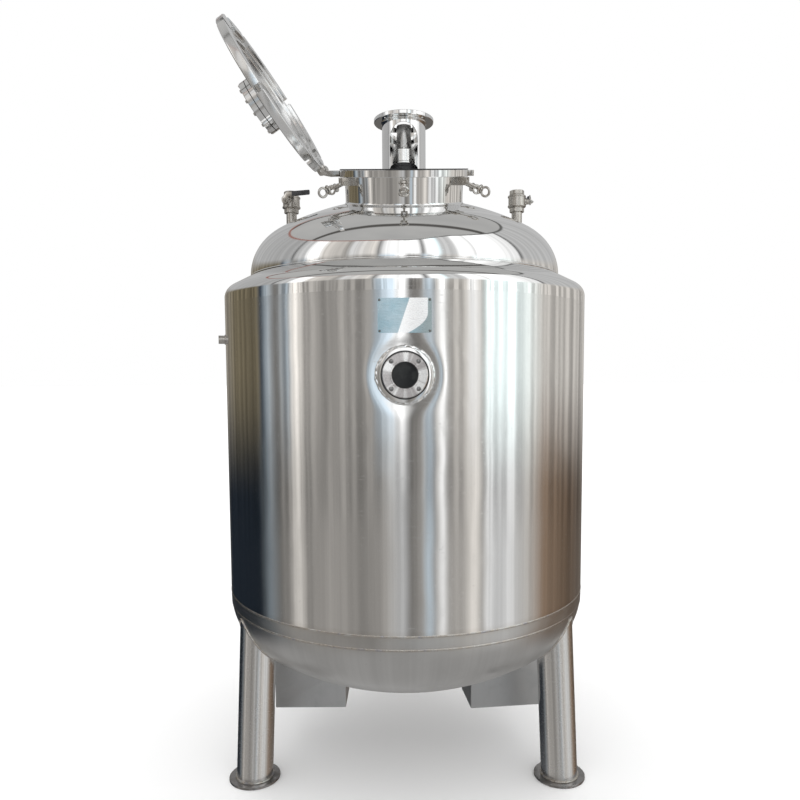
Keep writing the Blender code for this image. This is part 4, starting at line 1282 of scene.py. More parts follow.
class TANK_OT_lower_end(Operator):
    """Builds the jacket's dull lower end, with its two dressed weld lines."""

    bl_idname = "tank.lower_end"
    bl_label = "Jacket Lower End"

    def execute(self, context):
        skin = turned("jacket_bottom_skin", dished_end(*JACKET_END), sizes().round_steps,
                      closed=False)
        wall(skin, JACKET_SHEET)
        cut(skin, rod("outlet_hole", 0.0258, 0.10, 0.30, 48))
        hand_over(skin, dull(), stands_for="jacket_bottom")
        seam = bead("jacket_seam", JACKET_RADIUS, JACKET_SEAM)
        hand_over(seam, weld_metal())
        second = JACKET_SEAM - END_SEAM_DROP
        drop = JACKET_TANGENT - second
        radius = JACKET_RADIUS - JACKET_KNUCKLE + math.sqrt(JACKET_KNUCKLE ** 2 - drop ** 2)
        seam = bead("jacket_end_seam", radius, second)
        hand_over(seam, weld_metal())
        return {"FINISHED"}


class TANK_OT_vessel(Operator):
    """Builds the inner wall and its lower end, which show through the open manway."""

    bl_idname = "tank.vessel"
    bl_label = "Inner Vessel"

    def execute(self, context):
        steps = [VESSEL_SEAM + (VESSEL_TOP - VESSEL_SEAM) * i / 12 for i in range(13)]
        skin = turned("vessel_wall_skin", [(VESSEL_RADIUS, height) for height in steps],
                      sizes().round_steps, closed=False)
        wall(skin, VESSEL_SHEET)
        cut(skin, placed(rod("sight_hole", PORT_BORE, 0.45, 0.60, 64), PORT))
        hand_over(skin, inner_wall(), stands_for="vessel_wall")
        skin = turned("vessel_bottom_skin", dished_end(*VESSEL_END), sizes().round_steps,
                      closed=False)
        wall(skin, VESSEL_SHEET)
        cut(skin, rod("drain_hole", 0.0235, 0.30, 0.45, 48))
        hand_over(skin, inner_wall(), stands_for="vessel_bottom")
        return {"FINISHED"}


class TANK_OT_dome(Operator):
    """Builds the mirror-polished upper end, with the holes for what stands on it."""

    bl_idname = "tank.dome"
    bl_label = "Dome"

    def execute(self, context):
        skin = turned("vessel_dome_skin", dished_end(*DOME, DOME_LIP), sizes().round_steps,
                      closed=False)
        wall(skin, DOME_SHEET)
        mouth = placed(rod("mouth", NECK_BORE, -0.20, 0.10, 128), MANWAY)
        seal = placed(rod("seal", NOZZLE_BORE, *STAND_SPAN, 64), STAND)
        left = placed(rod("left", NIPPLE_BORE, *VALVE_SPAN, 48), move(-VALVE_X))
        right = placed(rod("right", NIPPLE_BORE, *VALVE_SPAN, 48), move(VALVE_X))
        cut(skin, mouth, seal, left, right)
        hand_over(skin, polished(), stands_for="vessel_dome")
        return {"FINISHED"}


class TANK_OT_manway(Operator):
    """Builds the manway's neck, its flange and gasket, and the lugs for the swing bolts."""

    bl_idname = "tank.manway"
    bl_label = "Manway"

    def execute(self, context):
        foot = meeting(MANWAY, NECK_RADIUS, DOME, *MANWAY_SPAN, 128)
        under = raised(foot, -0.006)
        outer = [[near.lerp(far, share)
                  for near, far in zip(under, levelled(under, -FLANGE_THICK))]
                 for share in (0.0, 0.3, 0.7, 1.0)]
        bore = NECK_BORE / NECK_RADIUS
        inner = [[Vector((point.x * bore, point.y * bore, point.z - 0.004 * (i == 0)))
                  for point in loop] for i, loop in enumerate(outer)]
        neck = loft("neck", outer + inner[::-1] + [outer[0]])
        fillet = pipe_fillet("fillet", MANWAY, NECK_RADIUS, DOME, *MANWAY_SPAN, 0.007, 0.009,
                             128)
        neck = joined("manway_neck_skin", neck, fillet)
        hand_over(neck, polished(), stands_for="manway_neck",
                  place=MANWAY)

        edge = 0.0012
        flange = turned("manway_flange_ring", [
            (FLANGE_RADIUS - edge, 0.0), (FLANGE_RADIUS, -edge),
            (FLANGE_RADIUS, -FLANGE_THICK + edge), (FLANGE_RADIUS - edge, -FLANGE_THICK),
            (NECK_BORE, -FLANGE_THICK), (NECK_BORE, -0.002), (NECK_BORE + 0.002, 0.0)],
            sizes().round_steps)
        hand_over(flange, polished(), stands_for="manway_flange",
                  place=MANWAY)
        gasket = turned("manway_gasket_ring", [
            (FLANGE_RADIUS - 0.0008, 0.0012), (FLANGE_RADIUS - 0.0018, 0.0002),
            (GASKET_BORE, 0.0002), (GASKET_BORE, 0.0022), (GASKET_BORE + 0.0008, 0.003),
            (FLANGE_RADIUS - 0.0018, 0.003), (FLANGE_RADIUS - 0.0008, 0.0022)],
            sizes().round_steps)
        hand_over(gasket, rubber(), stands_for="manway_gasket",
                  place=MANWAY)
        self.lugs()
        return {"FINISHED"}

    def lugs(self):
        """A pair of ears and a headed pin for each swing bolt, welded to the neck."""
        root, thick = NECK_RADIUS - 0.002, 0.006
        top, low = -FLANGE_THICK - 0.0002, -BOLT_PIVOT_DROP - BOLT_EYE
        nose = arc((BOLT_CIRCLE, -BOLT_PIVOT_DROP), BOLT_EYE, -90.0, 0.0, 10)
        side = [(root, low)] + nose + [(BOLT_CIRCLE + BOLT_EYE, top), (root, top)]
        ear = plate("ear", [(x, -thick / 2, z) for x, z in side], (0, thick, 0))
        soften(ear, 0.0008)
        offset = BOLT_EYE_HALF + 0.0005 + thick / 2
        ears = spread("ears", ear, [move(y=-offset), move(y=offset)])
        reach = offset + thick / 2
        pin = turned("pin", [(0.0, -reach - 0.003), (0.005, -reach - 0.003),
                             (0.0055, -reach - 0.0025), (0.0055, -reach),
                             (BOLT_PIN, -reach), (BOLT_PIN, reach + 0.003),
                             (BOLT_PIN - 0.0008, reach + 0.0038), (0.0, reach + 0.0038)],
                     24, closed=False)
        placed(pin, move(BOLT_CIRCLE, 0.0, -BOLT_PIVOT_DROP) @ turn(90, "X"))
        lug = joined("lug", ears, pin)
        lugs = spread("bolt_lugs", lug, [turn(angle) for angle, _ in BOLTS.values()])
        hand_over(lugs, cast(), place=MANWAY)


class TANK_OT_lid(Operator):
    """Builds the lid with its rim, its slots for the swing bolts and its hinge strap."""

    bl_idname = "tank.lid"
    bl_label = "Lid"

    def execute(self, context):
        edge = 0.0022
        steps = sizes().round_steps
        outline = arc((LID_LIP - 0.002, LID_TOP + 0.002), 0.002, 270.0, 360.0, 3)
        outline += arc((LID_LIP + 0.001, LID_RIM_HIGH - 0.001), 0.001, 180.0, 90.0, 3)
        outline += arc((LID_RADIUS - LID_ROUNDING, LID_RIM_HIGH - LID_ROUNDING), LID_ROUNDING,
                       90.0, 0.0, 6)
        outline += arc((LID_RADIUS - edge, LID_RIM_LOW + edge), edge, 0.0, -90.0, 4)
        outline += arc((LID_RECESS + 0.001, LID_RIM_LOW + 0.001), 0.001, 270.0, 180.0, 3)
        outline += arc((LID_RECESS - 0.002, LID_UNDER - 0.002), 0.002, 0.0, 90.0, 3)
        outline += arc((LID_SEAT + 0.002, LID_UNDER + 0.002), 0.002, 270.0, 180.0, 3)
        outline += arc((LID_SEAT - 0.003, LID_CROWN - 0.003), 0.003, 0.0, 90.0, 4)
        outline += [(0.12, LID_CROWN), (SIGHT_BORE, LID_CROWN), (SIGHT_BORE, CROWN_TOP),
                    (0.12, CROWN_TOP)]
        step = LID_SEAT + LID_PLATE
        outline += arc((step - 0.004, CROWN_TOP - 0.004), 0.004, 90.0, 0.0, 4)
        outline += arc((step + 0.002, LID_TOP + 0.002), 0.002, 180.0, 270.0, 3)
        disc = turned("lid_disc_skin", outline, steps)
        half = BOLT_SHANK + BOLT_SLOT_PLAY
        slot = [(LID_RADIUS + 0.02, -half, -0.03), (LID_RADIUS + 0.02, half, -0.03)]
        slot += [(x, y, -0.03) for x, y in arc((BOLT_CIRCLE, 0.0), half, 90.0, 270.0, 16)]
        slots = spread("slots", plate("slot", slot, (0, 0, 0.06)),
                       [turn(angle) for angle, _ in BOLTS.values()])
        hinge_half = STRAP_HALF_WIDTH + 0.001 + EAR_THICK + 0.010
        latch_half = LATCH_HALF_WIDTH + 0.005
        low, outer = LID_RIM_LOW - 0.01, LID_RADIUS + 0.02
        near, inner = -HINGE_REACH + EAR_RADIUS + 0.0055, -LID_RECESS + 0.02
        side = [(-outer, low), (inner, low), (inner, LID_UNDER), (near, LID_UNDER),
                (near, 0.03), (-outer, 0.03)]
        hinge = plate("hinge", [(x, -hinge_half, z) for x, z in side],
                      (0, 2 * hinge_half, 0))
        latch = block("latch", (LID_RECESS - 0.02, -latch_half, low),
                      (outer, latch_half, LID_UNDER))
        cut(disc, slots, hinge, latch)
        hand_over(disc, satin(), "lid", stands_for="lid_disc",
                  place=LID)

        low = LID_TOP + 0.0002
        high = low + STRAP_THICK
        first = math.degrees(math.asin(low / EYE_RADIUS))
        bend = 0.007
        side = [(STRAP_REACH, low)] + arc((0.0, 0.0), EYE_RADIUS, first, -180.0, 28)
        side += arc((bend - EYE_RADIUS, high - bend), bend, 180.0, 90.0, 8)
        side += [(STRAP_REACH, high)]
        strap = plate("lid_strap_bar", [(x, -STRAP_HALF_WIDTH, z) for x, z in side],
                      (0, 2 * STRAP_HALF_WIDTH, 0))
        cut(strap, placed(rod("bore", HINGE_PIN + 0.0005, -0.05, 0.05, 32), turn(90, "X")))
        soften(strap, 0.001)
        screws = spread("screws", cap_screw("screw", 0.0045, 0.005),
                        [move(x, y, high) for x in (0.030, 0.054) for y in (-0.011, 0.011)])
        strap = joined("lid_strap_bar", strap, screws)
        hand_over(strap, fastener(), "lid", stands_for="lid_strap",
                  place=LID @ move(-HINGE_REACH))
        return {"FINISHED"}


class TANK_OT_lid_sight(Operator):
    """Builds the lid's sight glass between its two bolted rings."""

    bl_idname = "tank.lid_sight"
    bl_label = "Lid Sight Glass"

    def execute(self, context):
        low = CROWN_TOP + 0.0002
        under = low + SIGHT_RISE
        top = under + SIGHT_BASE
        edge, steps, pocket = 0.0012, 96, 0.004
        base = turned("lid_sight_pad", [
            (SIGHT_RADIUS - edge, top), (SIGHT_RADIUS, top - edge),
            (SIGHT_RADIUS, under + edge), (SIGHT_RADIUS - edge, under), (SIGHT_NECK, under),
            (SIGHT_NECK, low), (SIGHT_BORE, low), (SIGHT_BORE, top - pocket),
            (SIGHT_GLASS, top - pocket), (SIGHT_GLASS, top)], steps)
        weld = turned("weld", arc((SIGHT_NECK, low), 0.0035, 0.0, 324.0, 9), steps)
        nuts = hex_screw("nut", 0.0086, 0.0036, 0.0050)
        nuts = spread("nuts", placed(nuts, turn(180, "X")),
                      spin_places(SIGHT_SCREWS, SIGHT_SCREW_CIRCLE, under, 15.0))
        base = joined("lid_sight_pad", base, weld, nuts)
        hand_over(base, polished_fitting(), "lid", stands_for="lid_sight_base",
                  place=LID)
        seal = turned("lid_sight_seal", ring(SIGHT_RADIUS - 0.0006, SIGHT_GLASS - 0.001,
                                             top - 0.0004, top + 0.0016), steps)
        hand_over(seal, rubber(), "lid", place=LID)
        ring_low = top + 0.0012
        ring_top = top + 0.0003 + SIGHT_BASE
        cover = turned("lid_sight_cover", [
            (SIGHT_RADIUS, ring_top - edge), (SIGHT_RADIUS, ring_low),
            (SIGHT_GLASS, ring_low), (SIGHT_GLASS, ring_low + pocket),
            (SIGHT_BORE, ring_low + pocket), (SIGHT_BORE, ring_top - 0.003),
            (SIGHT_BORE + 0.003, ring_top), (SIGHT_RADIUS - edge, ring_top)], steps)
        hand_over(cover, polished_fitting(), "lid", stands_for="lid_sight_ring",
                  place=LID)
        plug = SIGHT_BORE - 0.0008
        glass = turned("lid_sight_pane", [
            (0.0, top + pocket), (SIGHT_GLASS - 0.0002, top + pocket),
            (SIGHT_GLASS - 0.0002, top - pocket), (plug, top - pocket),
            (plug, LID_CROWN + 0.0004), (plug - 0.0004, LID_CROWN), (0.0, LID_CROWN)],
            steps, closed=False)
        hand_over(glass, sight_glass(), "lid", stands_for="lid_sight_glass",
                  place=LID)
        screws = spread("lid_sight_screws", hex_screw("screw", 0.0086, 0.0036, 0.0050),
                        spin_places(SIGHT_SCREWS, SIGHT_SCREW_CIRCLE, ring_top - 0.0002, 15.0))
        hand_over(screws, fastener(), "lid", place=LID)
        return {"FINISHED"}


class TANK_OT_hinge(Operator):
    """Builds the lid's hinge bracket, its pin, and the latch block across from it."""

    bl_idname = "tank.hinge"
    bl_label = "Hinge"

    def execute(self, context):
        root, low, high = -FLANGE_RADIUS + 0.001, -0.019, -0.001
        nose = arc((-HINGE_REACH, 0.0), EAR_RADIUS, -4.0, 270.0, 24)
        side = [(root, high)] + nose + [(-HINGE_REACH + 0.025, low), (root, low)]
        ear = plate("ear", [(x, -EAR_THICK / 2, z) for x, z in side], (0, EAR_THICK, 0))
        soften(ear, 0.0012)
        offset = STRAP_HALF_WIDTH + 0.001 + EAR_THICK / 2
        ears = spread("ears", ear, [move(y=-offset), move(y=offset)])
        web = block("web", (-0.226, -offset, low + 0.001), (root, offset, -0.011), 0.001)
        bracket = joined("hinge_bracket_ears", ears, web)
        hand_over(bracket, fastener(), stands_for="hinge_bracket",
                  place=MANWAY)
        face = offset + EAR_THICK / 2
        head, tail = 0.0045, 0.0007
        pin = turned("hinge_pin_bar", [
            (0.0, -face - head), (0.0072, -face - head), (0.008, -face - head + 0.0008),
            (0.008, -face), (HINGE_PIN, -face), (HINGE_PIN, face), (0.008, face),
            (0.008, face + head - 0.0008), (0.0072, face + head), (0.0045, face + head),
            (0.0035, face + head - tail), (0.0, face + head - tail)], 32, closed=False)
        hand_over(pin, fastener(), stands_for="hinge_pin",
                  place=MANWAY @ move(-HINGE_REACH) @ turn(90, "X"))
        latch = block("latch_lug", (FLANGE_RADIUS - 0.002, -LATCH_HALF_WIDTH, -0.018),
                      (0.211, LATCH_HALF_WIDTH, -0.001), 0.0012)
        bore = placed(rod("bore", 0.0045, -0.05, 0.05, 24), move(0.2035, 0.0, 0.0))
        cut(latch, bore)
        hand_over(latch, fastener(), stands_for="latch_block",
                  place=MANWAY)
        return {"FINISHED"}


class TANK_OT_swing_bolts(Operator):
    """Builds the six swing bolts, each with its eye, its thread and its ring nut."""

    bl_idname = "tank.swing_bolts"
    bl_label = "Swing Bolts"

    def execute(self, context):
        edge = 0.0008
        eye = turned("eye", [(BOLT_EYE - edge, BOLT_EYE_HALF), (BOLT_EYE, BOLT_EYE_HALF - edge),
                             (BOLT_EYE, edge - BOLT_EYE_HALF),
                             (BOLT_EYE - edge, -BOLT_EYE_HALF),
                             (BOLT_PIN + 0.0005, -BOLT_EYE_HALF),
                             (BOLT_PIN + 0.0005, BOLT_EYE_HALF)], 32)
        placed(eye, turn(90, "X"))
        nut_end = BOLT_NUT_SEAT + BOLT_NUT_THICK
        shank = turned("shank", [(0.0, 0.006), (BOLT_SHANK - 0.0006, 0.006)]
                       + threaded(BOLT_SHANK, 0.016, BOLT_NUT_SEAT + 0.001)
                       + [(0.0, BOLT_NUT_SEAT + 0.001)], 24, closed=False)
        wide = BOLT_NUT_RADIUS
        collar = turned("collar", [
            (0.0, BOLT_NUT_SEAT), (wide - 0.001, BOLT_NUT_SEAT), (wide, BOLT_NUT_SEAT + 0.001),
            (wide, nut_end - 0.002), (wide - 0.002, nut_end), (0.0075, nut_end + 0.001),
            (0.006, nut_end + 0.004), (0.0, nut_end + 0.004)], 40, closed=False)
        stem = joined("stem", shank, collar)
        placed(stem, turn(90, "Y"))
        loop = turned("loop", arc((RING_MAJOR, 0.0), RING_MINOR, 0.0, -337.5, 15), 40)
        for name, (angle, ring_turn) in BOLTS.items():
            nut = copied(loop, "nut", move(RING_CENTRE) @ turn(90 - ring_turn, "X"))
            rest = [copied(piece, "bolt", Matrix.Identity(4)) for piece in (eye, stem)]
            bolt = joined("swing_bolt_" + name + "_steel", nut, *rest)
            hand_over(bolt, fastener(), "bolt_" + name, stands_for="swing_bolt_" + name,
                      place=MANWAY @ turn(angle) @ move(BOLT_CIRCLE, 0.0, -BOLT_PIVOT_DROP)
                      @ turn(BOLT_DROOP, "Y"))
        for model in (eye, stem, loop):
            bpy.data.objects.remove(model)
        return {"FINISHED"}


class TANK_OT_stand(Operator):
    """Builds the stand for the drive, with its front window and its flange."""

    bl_idname = "tank.stand"
    bl_label = "Drive Stand"

    def execute(self, context):
        foot = meeting(STAND, STAND_RADIUS, DOME, *STAND_SPAN, 128)
        bore = (STAND_RADIUS - STAND_WALL) / STAND_RADIUS
        heights = [WINDOW_LOW - 0.02, 2.00, 2.06, WINDOW_HIGH - WINDOW_HALF, STAND_TOP]
        outer = [raised(foot, -0.004)] + [levelled(foot, height) for height in heights]
        inner = drawn_in(outer, bore)
        tube = loft("stand_tube_skin", outer + inner[::-1] + [outer[0]])
        spring = WINDOW_HIGH - WINDOW_HALF
        arch = [(-WINDOW_HALF, WINDOW_LOW), (WINDOW_HALF, WINDOW_LOW)]
        arch += arc((0.0, spring), WINDOW_HALF, 0.0, 180.0, 32)
        cut(tube, plate("window", [(x, -0.12, z) for x, z in arch], (0, 0.10, 0)))
        fillet = pipe_fillet("fillet", STAND, STAND_RADIUS, DOME, *STAND_SPAN, 0.005, 0.006,
                             128)
        tube = joined("stand_tube_skin", tube, fillet)
        hand_over(tube, polished_fitting(), stands_for="stand_tube",
                  place=STAND)
        edge, low, high = 0.0018, STAND_TOP, STAND_FLANGE_TOP
        rim = turned("stand_flange_ring", [
            (STAND_FLANGE - edge, high), (STAND_FLANGE, high - edge),
            (STAND_FLANGE, low + edge), (STAND_FLANGE - edge, low), (0.050, low),
            (0.050, high - edge), (0.050 + edge, high)], 128)
        holes = spread("holes", rod("hole", 0.0055, low - 0.02, high + 0.02, 32),
                       spin_places(4, 0.091, 0.0, 45.0))
        cut(rim, holes)
        weld = turned("weld", arc((STAND_RADIUS, low - 0.0005), 0.0035, 0.0, 324.0, 9), 128)
        rim = joined("stand_flange_ring", rim, weld)
        hand_over(rim, polished_fitting(), stands_for="stand_flange",
                  place=STAND)
        return {"FINISHED"}


class TANK_OT_seal(Operator):
    """Builds the shaft seal in the stand: its nozzle, its dark base and its housing."""

    bl_idname = "tank.seal"
    bl_label = "Shaft Seal"

    def execute(self, context):
        low, high = edge_of("seal_base", LOW, 2), edge_of("seal_base", HIGH, 2)
        top = edge_of("seal_housing", HIGH, 2)
        nozzle = dome_pipe("seal_nozzle_pipe", STAND, NOZZLE_RADIUS, NOZZLE_BORE, STAND_SPAN,
                           low, 0.004, 0.005, 0.006, 64)
        hand_over(nozzle, polished_fitting(), stands_for="seal_nozzle",
                  place=STAND)
        wide, bore, rounding = 0.050, SHAFT_RADIUS + 0.0003, 0.013
        rim = arc((wide - rounding, high - rounding), rounding, 90.0, 0.0, 12)
        base = turned("seal_base_ring", rim + [
            (wide - 0.0012, high - rounding - 0.001), (wide - 0.0012, low + 0.007),
            (wide, low + 0.006), (wide, low + 0.002), (wide - 0.002, low), (bore, low),
            (bore, high)], 96)
        hand_over(base, rubber(), stands_for="seal_base", place=STAND)
        wide, bore = edge_of("seal_housing", HIGH, 0), SHAFT_RADIUS + 0.002
        housing = turned("seal_housing_ring", [
            (wide - 0.0015, top), (wide, top - 0.0015), (wide, high + 0.0075),
            (wide - 0.001, high + 0.0065), (wide - 0.001, high + 0.0055),
            (wide, high + 0.0045), (wide, high + 0.0002), (bore, high + 0.0002),
            (bore, top - 0.001), (bore + 0.001, top)], 96)
        screws = spread("screws", cap_screw("screw", 0.0042, 0.0042),
                        spin_places(4, 0.034, top - 0.0002, 0.0))
        housing = joined("seal_housing_ring", housing, screws)
        hand_over(housing, turned_steel(), stands_for="seal_housing",
                  place=STAND)
        return {"FINISHED"}


class TANK_OT_agitator(Operator):
    """Builds the coupling, the shaft and the pitched-blade impeller."""

    bl_idname = "tank.agitator"
    bl_label = "Agitator"

    def execute(self, context):
        low, high = (edge_of("agitator_coupling", side, 2) for side in (LOW, HIGH))
        wide = edge_of("agitator_coupling", HIGH, 0)
        edge = 0.0012
        sleeve = turned("agitator_coupling_sleeve", [
            (wide - edge, high), (wide, high - edge), (wide, low + edge), (wide - edge, low),
            (SHAFT_RADIUS, low), (SHAFT_RADIUS, high - edge), (SHAFT_RADIUS + edge, high)], 64)
        for height, way in ((high - 0.020, -75.0), (low + 0.014, -62.0)):
            place = turn(way) @ move(z=height) @ turn(90, "Y")
            cut(sleeve, placed(rod("hole", 0.0040, 0.020, 0.035, 24), place))
            screw = placed(cap_screw("screw", 0.0036, 0.005), place @ move(z=wide - 0.0060))
            sleeve = joined("agitator_coupling_sleeve", sleeve, screw)
        hand_over(sleeve, coupling_steel(), "agitator", stands_for="agitator_coupling",
                  place=STAND)

        low, high = (edge_of("agitator_shaft", side, 2) for side in (LOW, HIGH))
        shaft = turned("agitator_shaft_bar", [
            (0.0, high), (SHAFT_RADIUS - 0.0015, high), (SHAFT_RADIUS - 0.0001, high - 0.0014),
            (SHAFT_RADIUS - 0.0001, 1.4), (SHAFT_RADIUS - 0.0001, low + 0.002),
            (SHAFT_RADIUS - 0.002, low), (0.0, low)], 64, closed=False)
        hand_over(shaft, pipe(), "agitator", stands_for="agitator_shaft",
                  place=STAND)

        low, high = (edge_of("agitator_impeller", side, 2) for side in (LOW, HIGH))
        middle, half, hub = (low + high) / 2, 0.030, 0.034
        boss = turned("boss", [
            (hub - 0.002, middle + half), (hub, middle + half - 0.002),
            (hub, middle - half + 0.002), (hub - 0.002, middle - half),
            (SHAFT_RADIUS, middle - half), (SHAFT_RADIUS, middle + half)], 64)
        thick, reach = 0.006, edge_of("agitator_impeller", HIGH, 0)
        corner = 0.012
        side = [(hub - 0.006, -half), (reach - corner, -half)]
        side += arc((reach - corner, corner - half), corner, -90.0, 0.0, 8)[1:]
        side += arc((reach - corner, half - corner), corner, 0.0, 90.0, 8)
        side += [(hub - 0.006, half)]
        blade = plate("blade", [(x, -thick / 2, z) for x, z in side], (0, thick, 0))
        soften(blade, 0.001)
        weld = bar("weld", [(hub + 0.0005, 0.0, z) for z in (-half + 0.004, 0.0, half - 0.004)],
                   0.0045)
        blade = placed(joined("blade", blade, weld), turn(45, "X"))
        blades = spread("blades", blade, [move(z=middle) @ turn(90 * i) for i in range(4)])
        impeller = joined("agitator_impeller_blades", boss, blades)
        hand_over(impeller, pipe(), "agitator", stands_for="agitator_impeller",
                  place=STAND)
        return {"FINISHED"}


class TANK_OT_legs(Operator):
    """Builds the three pipe legs with their welds, and their round feet."""

    bl_idname = "tank.legs"
    bl_label = "Legs and Feet"

    def execute(self, context):
        for name, centre in FEET.items():
            way = math.degrees(math.atan2(centre.y, centre.x))
            place = move(centre.x, centre.y) @ turn(way)
            lean = place @ Matrix.Rotation(-LEG_LEAN, 4, "Y")
            top = meeting(lean, LEG_RADIUS, JACKET_END, 0.10, 0.70, 96)
            low = []
            for point in top:
                base = lean @ Vector((point.x, point.y, 0.0))
                height = (FOOT_THICK - base.z) / math.cos(LEG_LEAN)
                low.append(Vector((point.x, point.y, height)))
            over = raised(top, 0.003)
            outer = [[near.lerp(far, share) for near, far in zip(low, over)]
                     for share in (0.0, 0.15, 0.35, 0.55, 0.75, 1.0)]
            bore = (LEG_RADIUS - LEG_WALL) / LEG_RADIUS
            inner = drawn_in((outer[-1], outer[0]), bore)
            leg = loft("leg_" + name + "_pipe", outer + inner + [outer[0]])
            hand_over(leg, pipe(), stands_for="leg_" + name, place=lean)
            weld = lumpy_bead("leg_" + name + "_weld", top, 0.0042)
            hand_over(weld, weld_metal(), place=lean)
            weld = lumpy_bead("foot_" + name + "_weld", raised(low, 0.001), 0.0042)
            hand_over(weld, weld_metal(), place=lean)
            edge = 0.0012
            foot = turned("foot_" + name + "_disc", [
                (0.0, FOOT_THICK), (FOOT_RADIUS - edge, FOOT_THICK),
                (FOOT_RADIUS, FOOT_THICK - edge), (FOOT_RADIUS, edge),
                (FOOT_RADIUS - edge, 0.0), (0.0, 0.0)], 96, closed=False)
            hand_over(foot, foot_metal(), stands_for="foot_" + name,
                      place=place)
        return {"FINISHED"}


class TANK_OT_valves(Operator):
    """Builds the two ball valves on the dome, each with its nipple and sleeved lever."""

    bl_idname = "tank.valves"
    bl_label = "Ball Valves"

    def execute(self, context):
        for name, side, way in (("left_valve", -1, -20.0), ("right_valve", 1, 90.0)):
            at = move(side * VALVE_X)
            nipple = dome_pipe(name + "_nipple_pipe", at, NIPPLE_RADIUS, NIPPLE_BORE,
                               VALVE_SPAN, VALVE_LOW, 0.003, 0.004, 0.005, 48)
            hand_over(nipple, cast(), stands_for=name + "_nipple",
                      place=at)
            seat = at @ move(z=VALVE_LOW) @ turn(way)
            hand_over(self.body(name + "_body_casting"), cast(), stands_for=name + "_body",
                      place=seat)
            stem = seat @ move(0.0, -0.0453, VALVE_HEIGHT / 2)
            lever, sleeve = self.handle(name)
            body = "left_handle" if side < 0 else "right_handle"
            hand_over(lever, fastener(), body, place=stem)
            hand_over(sleeve, lever_sleeve(), body, stands_for=name + "_handle",
                      place=stem)
        return {"FINISHED"}

    def body(self, name):
        """A three-piece valve body: two ends with flats, a round middle and four bolts."""
        top, end, wide = VALVE_HEIGHT, 0.0245, 0.0305
        middle = turned(name, [
            (0.013, top), (end - 0.001, top), (end, top - 0.001), (end, top - 0.0115),
            (end - 0.0015, top - 0.013), (end - 0.0015, top - 0.0145),
            (wide - 0.002, top - 0.016), (wide, top - 0.018), (wide, top - 0.0215),
            (wide - 0.0022, top - 0.0225), (wide - 0.0022, 0.0225), (wide, 0.0215),
            (wide, 0.018), (wide - 0.002, 0.016), (end - 0.0015, 0.0145),
            (end - 0.0015, 0.013), (end, 0.0115), (end, 0.001), (end - 0.001, 0.0),
            (0.0, 0.0), (0.0, top - 0.022), (0.0122, top - 0.022),
            *[(0.0122 + 0.0008 * (i % 2), top - 0.021 + 0.0014 * i) for i in range(14)]],
            64, closed=False)
        for angle in range(0, 360, 60):
            flat = block("flat", (end * 0.93, -0.03, -0.001), (end + 0.01, 0.03, 0.0125))
            upper = copied(flat, "upper", turn(angle) @ move(z=top - 0.0115))
            cut(middle, placed(flat, turn(angle)), upper)
        boss = turned("boss", [(0.0, 0.015), (0.0125, 0.015), (0.0125, 0.031),
                               (0.0095, 0.033), (0.009, 0.0345), (0.009, 0.0418),
                               (0.0, 0.0418)], 32, closed=False)
        placed(boss, move(z=top / 2) @ turn(90, "X"))
        bolts = turned("bolts", [(0.0, 0.0165), (0.0042, 0.0165), (0.0042, 0.0185),
                                 (0.0028, 0.0185), (0.0028, top - 0.0185),
                                 (0.0042, top - 0.0185), (0.0042, top - 0.0165),
                                 (0.0, top - 0.0165)], 12, closed=False)
        bolts = spread("bolts", bolts, spin_places(4, 0.0262, 0.0, 45.0))
        return joined(name, middle, boss, bolts)

    def handle(self, name):
        """The lever's steel end with its stem nut, and the sleeve that covers the rest."""
        rise, length, half = 0.018, 0.092, 0.0015
        hub = arc((0.0, 0.0), 0.0115, -180.0, 0.0, 16)
        side = hub + [(0.014, rise - 0.008), (0.026, rise - 0.006), (0.040, rise - 0.006),
                      (0.040, rise + 0.006), (0.006, rise + 0.006), (-0.0115, 0.008)]
        lever = plate(name + "_lever", [(x, -half, z) for x, z in side], (0, 2 * half, 0))
        soften(lever, 0.0006)
        nut = placed(hex_screw("nut", 0.0105, 0.005, 0.0072), move(y=-half) @ turn(90, "X"))
        stud = placed(rod("stud", 0.0028, 0.0, 0.0095, 16, 0.0006),
                      move(y=-half) @ turn(90, "X"))
        lever = joined(name + "_lever", lever, nut, stud)
        high, thick, corner = 0.0078, 0.0042, 0.0036
        side = [(0.028, rise - high), (length - corner, rise - high)]
        side += arc((length - corner, rise), high, -60.0, 60.0, 8)
        side += [(0.028, rise + high)]
        sleeve = plate(name + "_sleeve", [(min(x, length), -thick, z) for x, z in side],
                       (0, 2 * thick, 0))
        soften(sleeve, 0.0028, 4)
        return lever, sleeve


